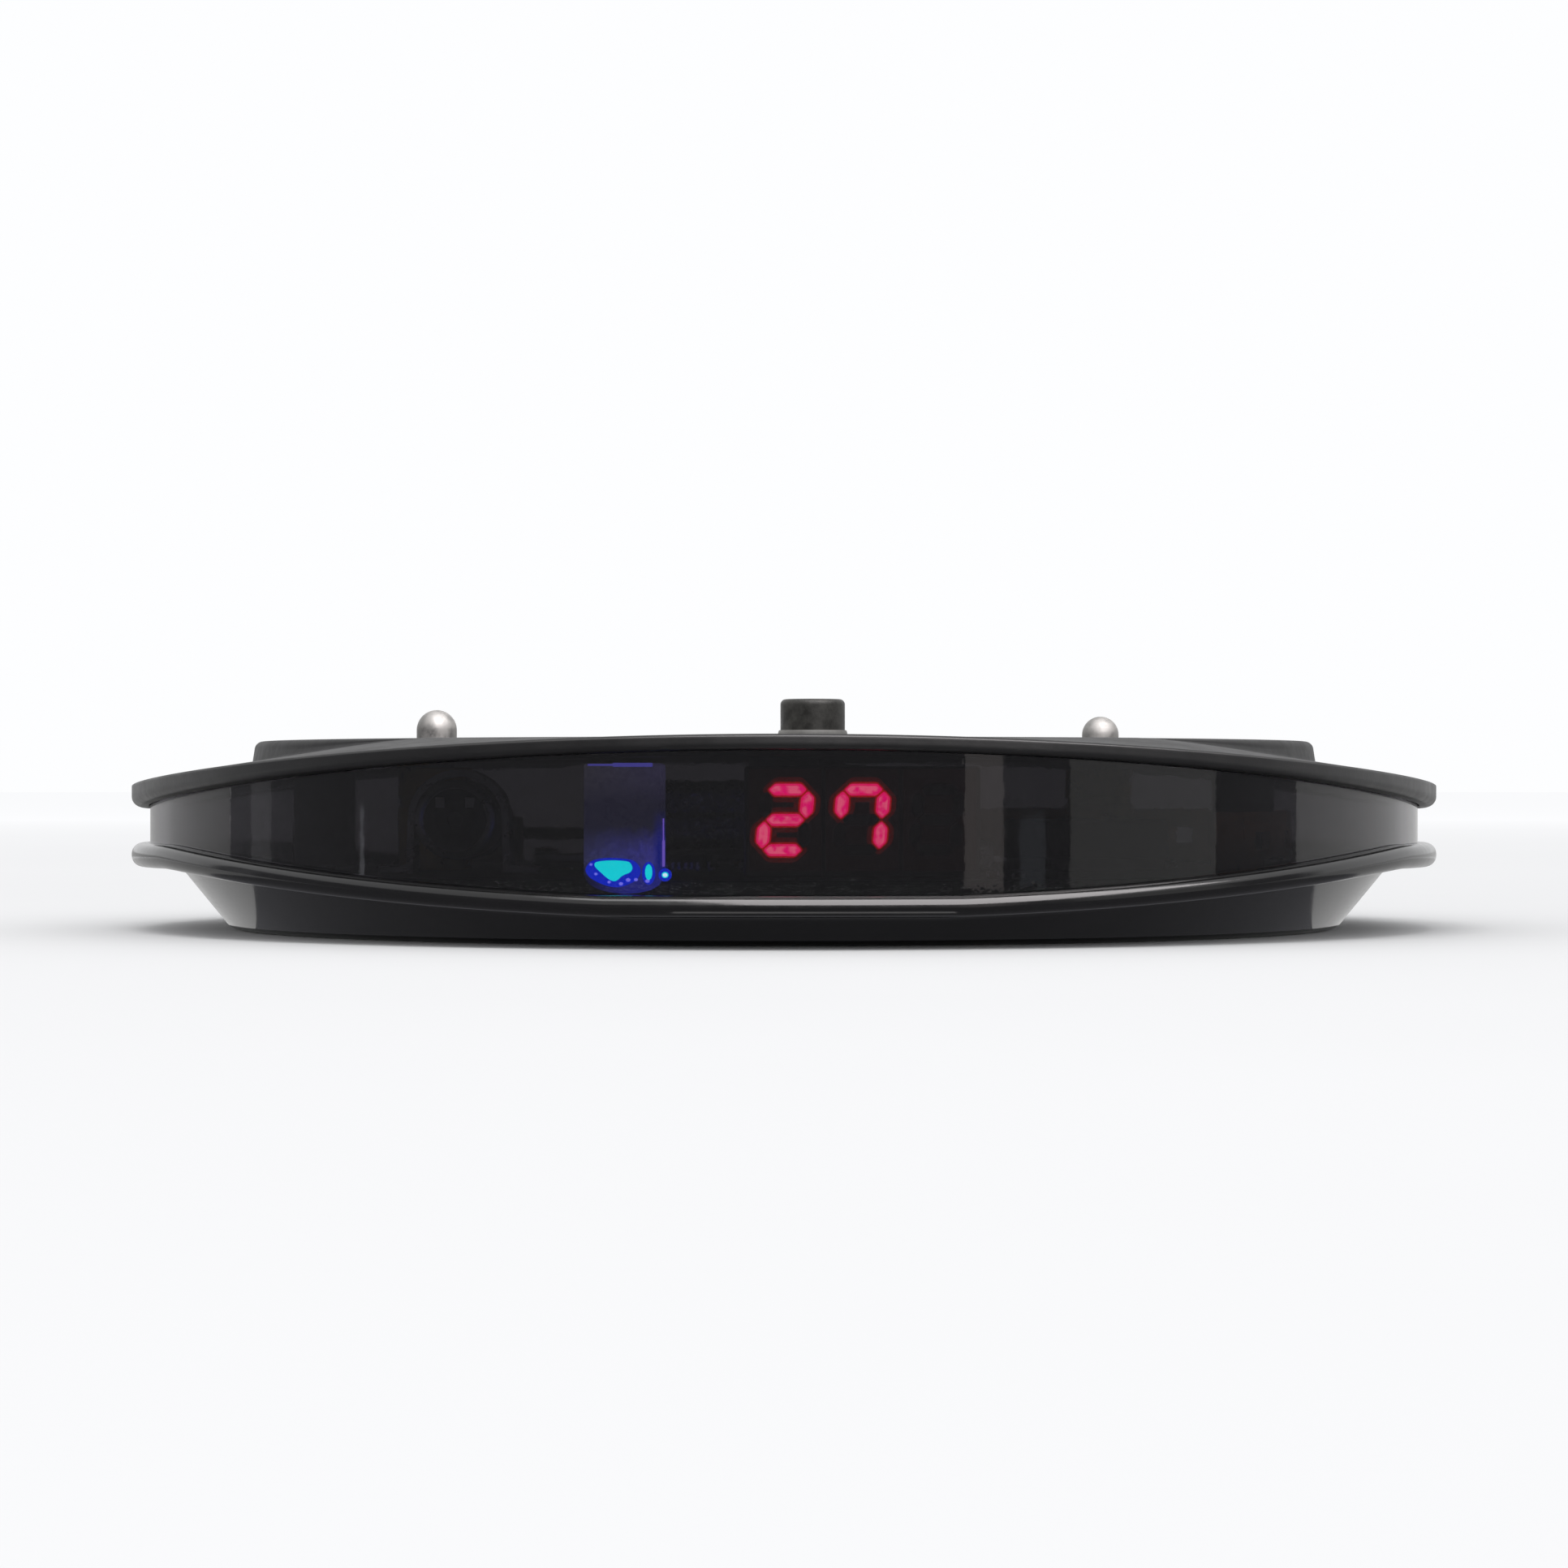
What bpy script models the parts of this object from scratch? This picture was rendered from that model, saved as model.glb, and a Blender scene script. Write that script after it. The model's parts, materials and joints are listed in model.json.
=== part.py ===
"""Coaster pager: a round stackable call pager with a smoked lens band around its rim.

Frame: metres, +Z up, origin on the case axis in the plane of the flat underside.
The number display looks out along -Y.
"""
import math

import bmesh
import bpy
from mathutils import Matrix, Vector

MM = 0.001
GAP = 0.3 * MM                       # clearance kept between neighbouring pieces

# Case outline
RIM_RADIUS = 54.0 * MM               # outer radius of both lips
DECK_HEIGHT = 15.4 * MM
DECK_RADIUS = 44.0 * MM
DECK_FOOT_RADIUS = 45.2 * MM
DECK_EDGE_ROUND = 0.7 * MM
DECK_FOOT_AT_SIDES = 12.65 * MM
DECK_FOOT_RISE = 4.0 * MM
UPPER_CREST_AT_SIDES = 11.8 * MM
UPPER_CREST_RISE = 3.7 * MM
UPPER_LIP_AT_SIDES = 1.95 * MM
UPPER_LIP_THINNING = 0.81 * MM
LOWER_CREST_AT_SIDES = 7.1 * MM
LOWER_CREST_DROP = 3.2 * MM
LOWER_BOW_START = 0.4                # facing at which the lower lip starts to dip
LOWER_BOW_END = 0.97                 # facing from which it stays at its lowest
LOWER_BOW_CURVE = 1.35
LOWER_LIP_AT_SIDES = 1.95 * MM
LOWER_LIP_THINNING = 0.45 * MM
FOOT_RADIUS = 45.85 * MM             # radius of the underside, where the cone starts
CONE_SLOPE = 0.815                   # metres of radius gained per metre of height
FLOOR_THICKNESS = 1.8 * MM
CONE_WALL = 1.8 * MM
ROOF_THICKNESS = 1.6 * MM
SADDLE_THICKNESS = 1.5 * MM
AROUND = 72                          # sections around the case

# Lens band
LENS_OUTER_RADIUS = 52.5 * MM
LENS_INNER_RADIUS = 51.0 * MM
GROOVE_DEPTH = 0.5 * MM
LENS_SEAT = 0.2 * MM                 # depth of lens held inside each groove

# Charging contacts, on one diameter of the case
CONTACT_RADIUS = 32.5 * MM
CONTACT_ANGLE = math.radians(31.5)
PIN_RADIUS = 1.6 * MM
PIN_TOP = 17.8 * MM
PIN_HOLE_RADIUS = 2.0 * MM
PIN_COLLAR_RADIUS = 2.1 * MM
PIN_COLLAR_HEIGHT = 1.0 * MM
BARREL_RADIUS = 2.9 * MM
BARREL_BORE_RADIUS = 2.4 * MM
BARREL_MOUTH_RADIUS = 1.95 * MM
BARREL_TOP = 13.2 * MM
BARREL_MOUTH_THICKNESS = 0.8 * MM
BARREL_FLOOR = 0.6 * MM
SPRING_RADIUS = 1.7 * MM
SPRING_WIRE_RADIUS = 0.18 * MM
SPRING_TURNS = 4.5
SPRING_POINTS_PER_TURN = 12
PAD_RADIUS = 2.4 * MM
PAD_RECESS_RADIUS = 2.8 * MM
PAD_RECESS_DEPTH = 1.3 * MM
PAD_BOTTOM = 0.5 * MM
PAD_THICKNESS = 0.5 * MM
PAD_STEM_RADIUS = 0.9 * MM
PAD_STEM_HOLE_RADIUS = 1.25 * MM

# Locating post and the socket under it
POST_X = 2.4 * MM
POST_RADIUS = 2.7 * MM
POST_RING_RADIUS = 2.95 * MM
POST_RING_HEIGHT = 0.7 * MM
POST_TOP = 19.0 * MM
POST_CHAMFER = 0.45 * MM
POST_HOLE_RADIUS = 3.05 * MM
POST_FLANGE_RADIUS = 4.5 * MM
POST_FLANGE_HEIGHT = 1.3 * MM
SOCKET_RADIUS = 3.1 * MM
SOCKET_DEPTH = 4.6 * MM
SOCKET_CUP_RADIUS = 4.6 * MM
SOCKET_CUP_TOP = 6.0 * MM

# Case screws
SCREW_CIRCLE_RADIUS = 38.5 * MM
SCREW_COUNT = 4
SCREW_RADIUS = 1.0 * MM
SCREW_TOP = 10.0 * MM
SCREW_HEAD_RADIUS = 1.9 * MM
SCREW_HEAD_BOTTOM = 0.5 * MM
SCREW_HEAD_HEIGHT = 0.8 * MM
SCREW_RECESS_RADIUS = 2.3 * MM
SCREW_RECESS_DEPTH = 1.6 * MM
SCREW_HOLE_RADIUS = 1.3 * MM
SCREW_HOLE_TOP = 11.5 * MM
UPPER_BOSS_RADIUS = 2.6 * MM
LOWER_BOSS_RADIUS = 3.6 * MM

# Circuit board and what stands on it
BOARD_RADIUS = 46.0 * MM
BOARD_BOTTOM = 3.2 * MM
BOARD_TOP = 4.8 * MM
BOARD_SOCKET_HOLE_RADIUS = 5.2 * MM
SEAT = BOARD_TOP + GAP               # underside of every piece that stands on the board

# Number display
DIGIT_COUNT = 3
DIGIT_PITCH = 5.55 * MM
DIGIT_SPINE = 4.38 * MM              # height between the outer segments' centre lines
DIGIT_SPAN = 2.95 * MM               # width between the upright segments' centre lines
DIGIT_SLANT = math.tan(math.radians(5.0))
SEGMENT_WIDTH = 0.8 * MM
SEGMENT_BREAK = 0.1 * MM             # gap between neighbouring segments
SEGMENT_DEPTH = 0.3 * MM
FIRST_DIGIT_X = 0.08 * MM
DIGIT_PLATE_HEIGHT = 7.4 * MM
DISPLAY_HEIGHT = 9.3 * MM            # height of the digits' middle
DIGIT_FRONT_Y = -48.8 * MM
DISPLAY_FACE_Y = DIGIT_FRONT_Y + 2 * SEGMENT_DEPTH + GAP
DISPLAY_SIZE = (17.0 * MM, 4.0 * MM, 8.1 * MM)
HEADER_SIZE = (16.0 * MM, 1.4 * MM, 1.4 * MM)
LEAD_COUNT = 11
LEAD_PITCH = 1.4 * MM
LEAD_SIZE = (0.5 * MM, 0.5 * MM, 3.4 * MM)

# Light guide and lamps
GUIDE_SIZE = (5.7 * MM, 6.4 * MM, 8.3 * MM)
GUIDE_FRONT_LEFT = (-14.4 * MM, -48.0 * MM)
BLUE_LAMP_PLACE = (-12.6 * MM, -40.0 * MM)
LAMP_SIZE = (2.0 * MM, 1.6 * MM, 1.1 * MM)
ALERT_LAMP_CIRCLE = 44.3 * MM
ALERT_LAMP_ANGLES = (-30, 20, 60, 120, 160, 200)

# Vibration motor, its axis along Y
MOTOR_X = -24.6 * MM
MOTOR_HEIGHT = 9.2 * MM
MOTOR_RADIUS = 3.0 * MM
MOTOR_FRONT_Y = -36.0 * MM
MOTOR_BACK_Y = -24.8 * MM
SHAFT_RADIUS = 0.5 * MM
SHAFT_END_Y = -20.2 * MM
WEIGHT_RADIUS = 3.2 * MM
WEIGHT_HUB_RADIUS = 1.6 * MM
WEIGHT_FRONT_Y = -23.5 * MM
WEIGHT_BACK_Y = -20.5 * MM
CLIP_THICKNESS = 0.5 * MM
CLIP_LENGTH = 5.0 * MM
CLIP_FOOT = 2.2 * MM

# Power
BATTERY_SIZE = (34.0 * MM, 20.0 * MM, 6.0 * MM)
BATTERY_MIDDLE = (0.0, 22.5 * MM)
FOAM_THICKNESS = 0.8 * MM
CONNECTOR_SIZE = (4.5 * MM, 6.0 * MM, 4.0 * MM)
CONNECTOR_MIDDLE = (-25.0 * MM, 12.0 * MM)
LEAD_RADIUS = 0.55 * MM
LEAD_SPACING = 2.0 * MM

# Antenna strip and sounder
ANTENNA_RADIUS = 41.9 * MM
ANTENNA_THICKNESS = 0.6 * MM
ANTENNA_HEIGHT = 4.6 * MM
ANTENNA_FROM = math.radians(-38.0)
ANTENNA_SWEEP = math.radians(104.0)
BUZZER_PLACE = (24.0 * MM, -17.0 * MM)
BUZZER_RADIUS = 6.5 * MM
BUZZER_HEIGHT = 4.0 * MM
BUZZER_PORT_RADIUS = 1.0 * MM

# Blank label in a shallow recess of the underside
LABEL_SIZE = (30.0 * MM, 14.0 * MM)
LABEL_MIDDLE = (4.0 * MM, -20.0 * MM)
LABEL_THICKNESS = 0.15 * MM
LABEL_RECESS = 0.5 * MM


def clear_scene():
    for existing in list(bpy.data.objects):
        bpy.data.objects.remove(existing, do_unlink=True)


def new_collection(name):
    collection = bpy.data.collections.new(name)
    bpy.context.scene.collection.children.link(collection)
    return collection


clear_scene()
PARTS = new_collection("coaster_pager")
CUTTERS = new_collection("cutters")


def principled(name, colour, roughness, metallic=0.0, transmission=0.0, emission=0.0):
    material = bpy.data.materials.new(name)
    material.use_nodes = True
    shader = material.node_tree.nodes["Principled BSDF"]
    shader.inputs["Base Color"].default_value = (*colour, 1.0)
    shader.inputs["Roughness"].default_value = roughness
    shader.inputs["Metallic"].default_value = metallic
    shader.inputs["Transmission Weight"].default_value = transmission
    shader.inputs["Emission Color"].default_value = (*colour, 1.0)
    shader.inputs["Emission Strength"].default_value = emission
    material.diffuse_color = (*colour, 1.0)
    return material


def finish_part(name, mesh_builder, material, smooth_angle=None):
    """Turn a bmesh into a named part with its material."""
    mesh = bpy.data.meshes.new(name)
    bmesh.ops.recalc_face_normals(mesh_builder, faces=mesh_builder.faces)
    mesh_builder.to_mesh(mesh)
    mesh_builder.free()
    mesh.materials.append(material)
    if smooth_angle:
        mesh.shade_smooth()
        mesh.set_sharp_from_angle(angle=math.radians(smooth_angle))
    part = bpy.data.objects.new(name, mesh)
    PARTS.objects.link(part)
    return part


def finish_cutter(name, mesh_builder):
    mesh = bpy.data.meshes.new(name)
    mesh_builder.to_mesh(mesh)
    mesh_builder.free()
    cutter = bpy.data.objects.new(name, mesh)
    cutter.hide_render = True
    cutter.display_type = "WIRE"
    CUTTERS.objects.link(cutter)
    return cutter


def add_boolean(part, cutter, operation):
    boolean = part.modifiers.new(cutter.name, "BOOLEAN")
    boolean.operation = operation
    boolean.solver = "EXACT"
    boolean.object = cutter


def add_bevel(part, width, segments=1):
    bevel = part.modifiers.new("rounded_edges", "BEVEL")
    bevel.width = width
    bevel.segments = segments
    bevel.limit_method = "ANGLE"


def add_cylinder(mesh_builder, centre, radius, bottom, top, sides=24):
    """Upright cylinder at centre (x, y) between two heights."""
    place = Matrix.Translation((centre[0], centre[1], (bottom + top) / 2))
    bmesh.ops.create_cone(mesh_builder, cap_ends=True, segments=sides, radius1=radius,
                          radius2=radius, depth=top - bottom, matrix=place)


def add_box(mesh_builder, centre, size, turn=0.0):
    scale = Matrix.Diagonal((*size, 1.0))
    place = Matrix.Translation(centre) @ Matrix.Rotation(turn, 4, "Z") @ scale
    bmesh.ops.create_cube(mesh_builder, size=1.0, matrix=place)


def box_on_board(name, middle, size, material, rounding=None):
    block = bmesh.new()
    add_box(block, (middle[0], middle[1], SEAT + size[2] / 2), size)
    part = finish_part(name, block, material)
    if rounding:
        add_bevel(part, rounding, 2)
    return part


def turned_part(name, profile, material, centre=(0.0, 0.0), steps=24, sweep=2 * math.pi):
    """Profile of (radius, height) points turned about an upright axis.

    It starts and ends on the axis, or is one open line that a Solidify thickens.
    """
    outline = bmesh.new()
    points = [outline.verts.new((radius, 0.0, height)) for radius, height in profile]
    for first, second in zip(points, points[1:]):
        outline.edges.new((first, second))
    mesh = bpy.data.meshes.new(name)
    outline.to_mesh(mesh)
    outline.free()
    mesh.materials.append(material)
    part = bpy.data.objects.new(name, mesh)
    part.location = (*centre, 0.0)
    PARTS.objects.link(part)
    screw = part.modifiers.new("turn", "SCREW")
    screw.angle = sweep
    screw.steps = steps
    screw.render_steps = steps
    screw.use_merge_vertices = True
    screw.merge_threshold = 0.00001
    return part


def loft_around_case(name, section_at, material, closed):
    """Sections of (radius, height) points, one at each angle, joined into one skin.

    A closed section makes a ring. An open one starts and ends on the case axis.
    """
    skin = bmesh.new()
    rings = []
    for step in range(AROUND):
        angle = 2 * math.pi * step / AROUND
        section = section_at(abs(math.sin(angle)))
        inner = section if closed else section[1:-1]
        rings.append([skin.verts.new((radius * math.cos(angle), radius * math.sin(angle), height))
                      for radius, height in inner])
    if not closed:
        first_pole = skin.verts.new((0.0, 0.0, section[0][1]))
        last_pole = skin.verts.new((0.0, 0.0, section[-1][1]))
    for ring, after in zip(rings, rings[1:] + rings[:1]):
        count = len(ring) if closed else len(ring) - 1
        for index in range(count):
            following = (index + 1) % len(ring)
            skin.faces.new((ring[index], after[index], after[following], ring[following]))
        if not closed:
            skin.faces.new((first_pole, after[0], ring[0]))
            skin.faces.new((last_pole, ring[-1], after[-1]))
    return finish_part(name, skin, material, smooth_angle=30)


# Heights that follow the bow of the rim; facing is 0 at the sides and 1 at front and back

def upper_crest(facing):
    return UPPER_CREST_AT_SIDES + UPPER_CREST_RISE * facing ** 1.8


def upper_lip_bottom(facing):
    return upper_crest(facing) - UPPER_LIP_AT_SIDES + UPPER_LIP_THINNING * facing


def lower_crest(facing):
    share = (facing - LOWER_BOW_START) / (LOWER_BOW_END - LOWER_BOW_START)
    share = min(1.0, max(0.0, share))
    return LOWER_CREST_AT_SIDES - LOWER_CREST_DROP * share ** LOWER_BOW_CURVE


def lower_lip_bottom(facing):
    return lower_crest(facing) - LOWER_LIP_AT_SIDES + LOWER_LIP_THINNING * facing ** 2


def deck_foot(facing):
    return min(DECK_HEIGHT, DECK_FOOT_AT_SIDES + DECK_FOOT_RISE * facing ** 1.6)


def saddle_height(radius, facing):
    """Height of the sloping surface between the deck's foot and the upper lip."""
    share = (radius - DECK_FOOT_RADIUS) / (RIM_RADIUS - 0.8 * MM - DECK_FOOT_RADIUS)
    return deck_foot(facing) + (upper_crest(facing) - deck_foot(facing)) * share


def cone_radius(height):
    return FOOT_RADIUS + CONE_SLOPE * height


def top_shell_section(facing):
    crest = upper_crest(facing)
    lip_bottom = upper_lip_bottom(facing)
    foot = deck_foot(facing)
    wall = DECK_HEIGHT - foot
    rounding = min(DECK_EDGE_ROUND, wall / 2)
    groove_inside = LENS_INNER_RADIUS - GAP
    groove_outside = LENS_OUTER_RADIUS + GAP
    return [
        (0.0, DECK_HEIGHT),
        (DECK_RADIUS - DECK_EDGE_ROUND, DECK_HEIGHT),
        (DECK_RADIUS - 0.3 * DECK_EDGE_ROUND, DECK_HEIGHT - 0.3 * rounding),
        (DECK_RADIUS, DECK_HEIGHT - rounding),
        (DECK_RADIUS + 0.25 * MM, foot + 0.2 * wall),
        (DECK_FOOT_RADIUS, foot),
        (RIM_RADIUS - 0.8 * MM, crest),
        (RIM_RADIUS - 0.25 * MM, crest - 0.2 * MM),
        (RIM_RADIUS, crest - 0.55 * MM),
        (RIM_RADIUS, lip_bottom + 0.3 * MM),
        (RIM_RADIUS - 0.3 * MM, lip_bottom),
        (groove_outside, lip_bottom),
        (groove_outside, lip_bottom + GROOVE_DEPTH),
        (groove_inside, lip_bottom + GROOVE_DEPTH),
        (groove_inside - 0.1 * MM, saddle_height(groove_inside, facing) - SADDLE_THICKNESS),
        (DECK_FOOT_RADIUS + 0.4 * MM, foot - SADDLE_THICKNESS),
        (DECK_RADIUS - 1.4 * MM, DECK_HEIGHT - ROOF_THICKNESS),
        (0.0, DECK_HEIGHT - ROOF_THICKNESS),
    ]


def bottom_shell_section(facing):
    crest = lower_crest(facing)
    lip_bottom = lower_lip_bottom(facing)
    groove_floor = crest - GROOVE_DEPTH
    shoulder = max(lip_bottom - 0.6 * MM, FLOOR_THICKNESS + 0.1 * MM)
    return [
        (0.0, 0.0),
        (FOOT_RADIUS - 0.55 * MM, 0.0),
        (FOOT_RADIUS + 0.05 * MM, 0.12 * MM),
        (cone_radius(0.45 * MM), 0.45 * MM),
        (cone_radius(lip_bottom - 0.5 * MM), lip_bottom - 0.5 * MM),
        (cone_radius(lip_bottom) + 0.35 * MM, lip_bottom - 0.12 * MM),
        (cone_radius(lip_bottom) + 1.2 * MM, lip_bottom),
        (RIM_RADIUS - 0.4 * MM, lip_bottom),
        (RIM_RADIUS, lip_bottom + 0.4 * MM),
        (RIM_RADIUS, crest - 0.45 * MM),
        (RIM_RADIUS - 0.13 * MM, crest - 0.13 * MM),
        (RIM_RADIUS - 0.5 * MM, crest),
        (LENS_OUTER_RADIUS + GAP, crest),
        (LENS_OUTER_RADIUS + GAP, groove_floor),
        (LENS_INNER_RADIUS - 0.4 * MM, groove_floor),
        (cone_radius(lip_bottom) - 0.9 * MM, groove_floor),
        (cone_radius(shoulder) - CONE_WALL, shoulder),
        (FOOT_RADIUS - 0.65 * MM, FLOOR_THICKNESS),
        (0.0, FLOOR_THICKNESS),
    ]


def lens_section(facing):
    bottom = lower_crest(facing) - LENS_SEAT
    top = upper_lip_bottom(facing) + LENS_SEAT
    return [
        (LENS_INNER_RADIUS, bottom),
        (LENS_OUTER_RADIUS, bottom),
        (LENS_OUTER_RADIUS, top),
        (LENS_INNER_RADIUS, top),
    ]


def contact_places():
    x = CONTACT_RADIUS * math.cos(CONTACT_ANGLE)
    y = CONTACT_RADIUS * math.sin(CONTACT_ANGLE)
    return {"left": (-x, -y), "right": (x, y)}


def screw_places():
    turns = [2 * math.pi * index / SCREW_COUNT for index in range(SCREW_COUNT)]
    return [(SCREW_CIRCLE_RADIUS * math.cos(turn), SCREW_CIRCLE_RADIUS * math.sin(turn))
            for turn in turns]


def make_top_shell():
    black = principled("satin_black_plastic", (0.014, 0.014, 0.015), 0.42)
    shell = loft_around_case("top_shell", top_shell_section, black, closed=False)
    bosses = bmesh.new()
    for place in screw_places():
        add_cylinder(bosses, place, UPPER_BOSS_RADIUS, SEAT, DECK_HEIGHT - ROOF_THICKNESS / 2, 16)
    add_boolean(shell, finish_cutter("upper_bosses", bosses), "UNION")
    holes = bmesh.new()
    for place in screw_places():
        add_cylinder(holes, place, SCREW_HOLE_RADIUS, SEAT - MM, SCREW_HOLE_TOP, 12)
    for place in contact_places().values():
        add_cylinder(holes, place, PIN_HOLE_RADIUS, BARREL_TOP, DECK_HEIGHT + MM)
    add_cylinder(holes, (POST_X, 0.0), POST_HOLE_RADIUS, BARREL_TOP, DECK_HEIGHT + MM)
    add_boolean(shell, finish_cutter("top_shell_holes", holes), "DIFFERENCE")


def make_bottom_shell():
    black = principled("polished_black_plastic", (0.012, 0.012, 0.013), 0.3)
    shell = loft_around_case("bottom_shell", bottom_shell_section, black, closed=False)
    bosses = bmesh.new()
    for place in screw_places():
        add_cylinder(bosses, place, LOWER_BOSS_RADIUS, FLOOR_THICKNESS / 2, BOARD_BOTTOM - GAP, 16)
    add_cylinder(bosses, (POST_X, 0.0), SOCKET_CUP_RADIUS, FLOOR_THICKNESS / 2, SOCKET_CUP_TOP)
    add_boolean(shell, finish_cutter("lower_bosses", bosses), "UNION")
    holes = bmesh.new()
    for place in screw_places():
        add_cylinder(holes, place, SCREW_RECESS_RADIUS, -MM, SCREW_RECESS_DEPTH, 16)
    for place in contact_places().values():
        add_cylinder(holes, place, PAD_RECESS_RADIUS, -MM, PAD_RECESS_DEPTH)
    add_cylinder(holes, (POST_X, 0.0), SOCKET_RADIUS, -MM, SOCKET_DEPTH)
    label_centre = (*LABEL_MIDDLE, (LABEL_RECESS - MM) / 2)
    add_box(holes, label_centre, (LABEL_SIZE[0] + 2 * GAP, LABEL_SIZE[1] + 2 * GAP, LABEL_RECESS + MM))
    add_boolean(shell, finish_cutter("underside_recesses", holes), "DIFFERENCE")
    shafts = bmesh.new()
    for place in screw_places():
        add_cylinder(shafts, place, SCREW_HOLE_RADIUS, SCREW_RECESS_DEPTH / 2, BOARD_TOP, 12)
    for place in contact_places().values():
        add_cylinder(shafts, place, PAD_STEM_HOLE_RADIUS, PAD_RECESS_DEPTH / 2, BOARD_TOP, 12)
    add_boolean(shell, finish_cutter("floor_through_holes", shafts), "DIFFERENCE")


def make_lens_band():
    smoked = principled("smoked_lens", (0.03, 0.03, 0.035), 0.04, transmission=0.9)
    loft_around_case("lens_band", lens_section, smoked, closed=True)


def make_locating_post():
    black = principled("post_black_plastic", (0.03, 0.03, 0.03), 0.5)
    flange_top = DECK_HEIGHT - ROOF_THICKNESS - GAP
    ring_bottom = DECK_HEIGHT + GAP
    profile = [
        (0.0, POST_TOP),
        (POST_RADIUS - POST_CHAMFER, POST_TOP),
        (POST_RADIUS, POST_TOP - POST_CHAMFER),
        (POST_RADIUS, ring_bottom + POST_RING_HEIGHT),
        (POST_RING_RADIUS, ring_bottom + POST_RING_HEIGHT),
        (POST_RING_RADIUS, ring_bottom),
        (POST_RADIUS, ring_bottom),
        (POST_RADIUS, flange_top),
        (POST_FLANGE_RADIUS, flange_top),
        (POST_FLANGE_RADIUS, flange_top - POST_FLANGE_HEIGHT),
        (0.0, flange_top - POST_FLANGE_HEIGHT),
    ]
    turned_part("locating_post", profile, black, (POST_X, 0.0))


def make_contact(side, place):
    """Sprung charging pin in its barrel, and the flat contact under it."""
    steel = principled(side + "_pin_steel", (0.62, 0.6, 0.57), 0.22, metallic=1.0)
    brass = principled(side + "_barrel_brass", (0.6, 0.45, 0.2), 0.35, metallic=1.0)
    wire = principled(side + "_spring_wire", (0.5, 0.5, 0.5), 0.3, metallic=1.0)
    plate = principled(side + "_pad_plate", (0.66, 0.6, 0.45), 0.3, metallic=1.0)
    collar_top = BARREL_TOP - BARREL_MOUTH_THICKNESS - GAP
    collar_bottom = collar_top - PIN_COLLAR_HEIGHT
    dome_steps = 5
    dome = [(PIN_RADIUS * math.sin(math.pi / 2 * step / dome_steps),
             PIN_TOP - PIN_RADIUS * (1 - math.cos(math.pi / 2 * step / dome_steps)))
            for step in range(dome_steps + 1)]
    pin = dome + [(PIN_RADIUS, collar_top), (PIN_COLLAR_RADIUS, collar_top),
                  (PIN_COLLAR_RADIUS, collar_bottom), (0.0, collar_bottom)]
    turned_part(side + "_contact_pin", pin, steel, place)
    bore_floor = SEAT + BARREL_FLOOR
    barrel = [
        (BARREL_MOUTH_RADIUS, BARREL_TOP),
        (BARREL_RADIUS, BARREL_TOP),
        (BARREL_RADIUS, SEAT),
        (0.0, SEAT),
    ]
    cavity = [
        (0.0, bore_floor),
        (BARREL_BORE_RADIUS, bore_floor),
        (BARREL_BORE_RADIUS, BARREL_TOP - BARREL_MOUTH_THICKNESS),
        (BARREL_MOUTH_RADIUS, BARREL_TOP - BARREL_MOUTH_THICKNESS),
        (BARREL_MOUTH_RADIUS, BARREL_TOP),
    ]
    turned_part(side + "_contact_barrel", cavity + barrel[1:], brass, place)
    make_spring(side + "_contact_spring", place, bore_floor + GAP, collar_bottom - GAP, wire)
    pad = [
        (0.0, BOARD_BOTTOM - GAP),
        (PAD_STEM_RADIUS, BOARD_BOTTOM - GAP),
        (PAD_STEM_RADIUS, PAD_BOTTOM + PAD_THICKNESS),
        (PAD_RADIUS, PAD_BOTTOM + PAD_THICKNESS),
        (PAD_RADIUS, PAD_BOTTOM),
        (0.0, PAD_BOTTOM),
    ]
    turned_part(side + "_contact_pad", pad, plate, place)


def tube_along(name, points, radius, material):
    """Round wire through the given points."""
    curve = bpy.data.curves.new(name, "CURVE")
    curve.dimensions = "3D"
    curve.bevel_depth = radius
    curve.bevel_resolution = 2
    curve.use_fill_caps = True
    curve.materials.append(material)
    spline = curve.splines.new("POLY")
    spline.points.add(len(points) - 1)
    for point, place in zip(spline.points, points):
        point.co = (*place, 1.0)
    part = bpy.data.objects.new(name, curve)
    PARTS.objects.link(part)
    return part


def make_spring(name, place, bottom, top, material):
    count = round(SPRING_TURNS * SPRING_POINTS_PER_TURN)
    low = bottom + SPRING_WIRE_RADIUS
    high = top - SPRING_WIRE_RADIUS
    points = []
    for index in range(count + 1):
        turn = 2 * math.pi * index / SPRING_POINTS_PER_TURN
        height = low + (high - low) * index / count
        points.append((place[0] + SPRING_RADIUS * math.cos(turn),
                       place[1] + SPRING_RADIUS * math.sin(turn), height))
    tube_along(name, points, SPRING_WIRE_RADIUS, material)


def make_screws():
    steel = principled("screw_steel", (0.35, 0.35, 0.36), 0.35, metallic=1.0)
    head_top = SCREW_HEAD_BOTTOM + SCREW_HEAD_HEIGHT
    profile = [
        (0.0, SCREW_TOP),
        (SCREW_RADIUS, SCREW_TOP),
        (SCREW_RADIUS, head_top),
        (SCREW_HEAD_RADIUS, head_top),
        (SCREW_HEAD_RADIUS, SCREW_HEAD_BOTTOM),
        (0.0, SCREW_HEAD_BOTTOM),
    ]
    for number, place in enumerate(screw_places(), start=1):
        turned_part("case_screw_%d" % number, profile, steel, place, steps=12)


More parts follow.
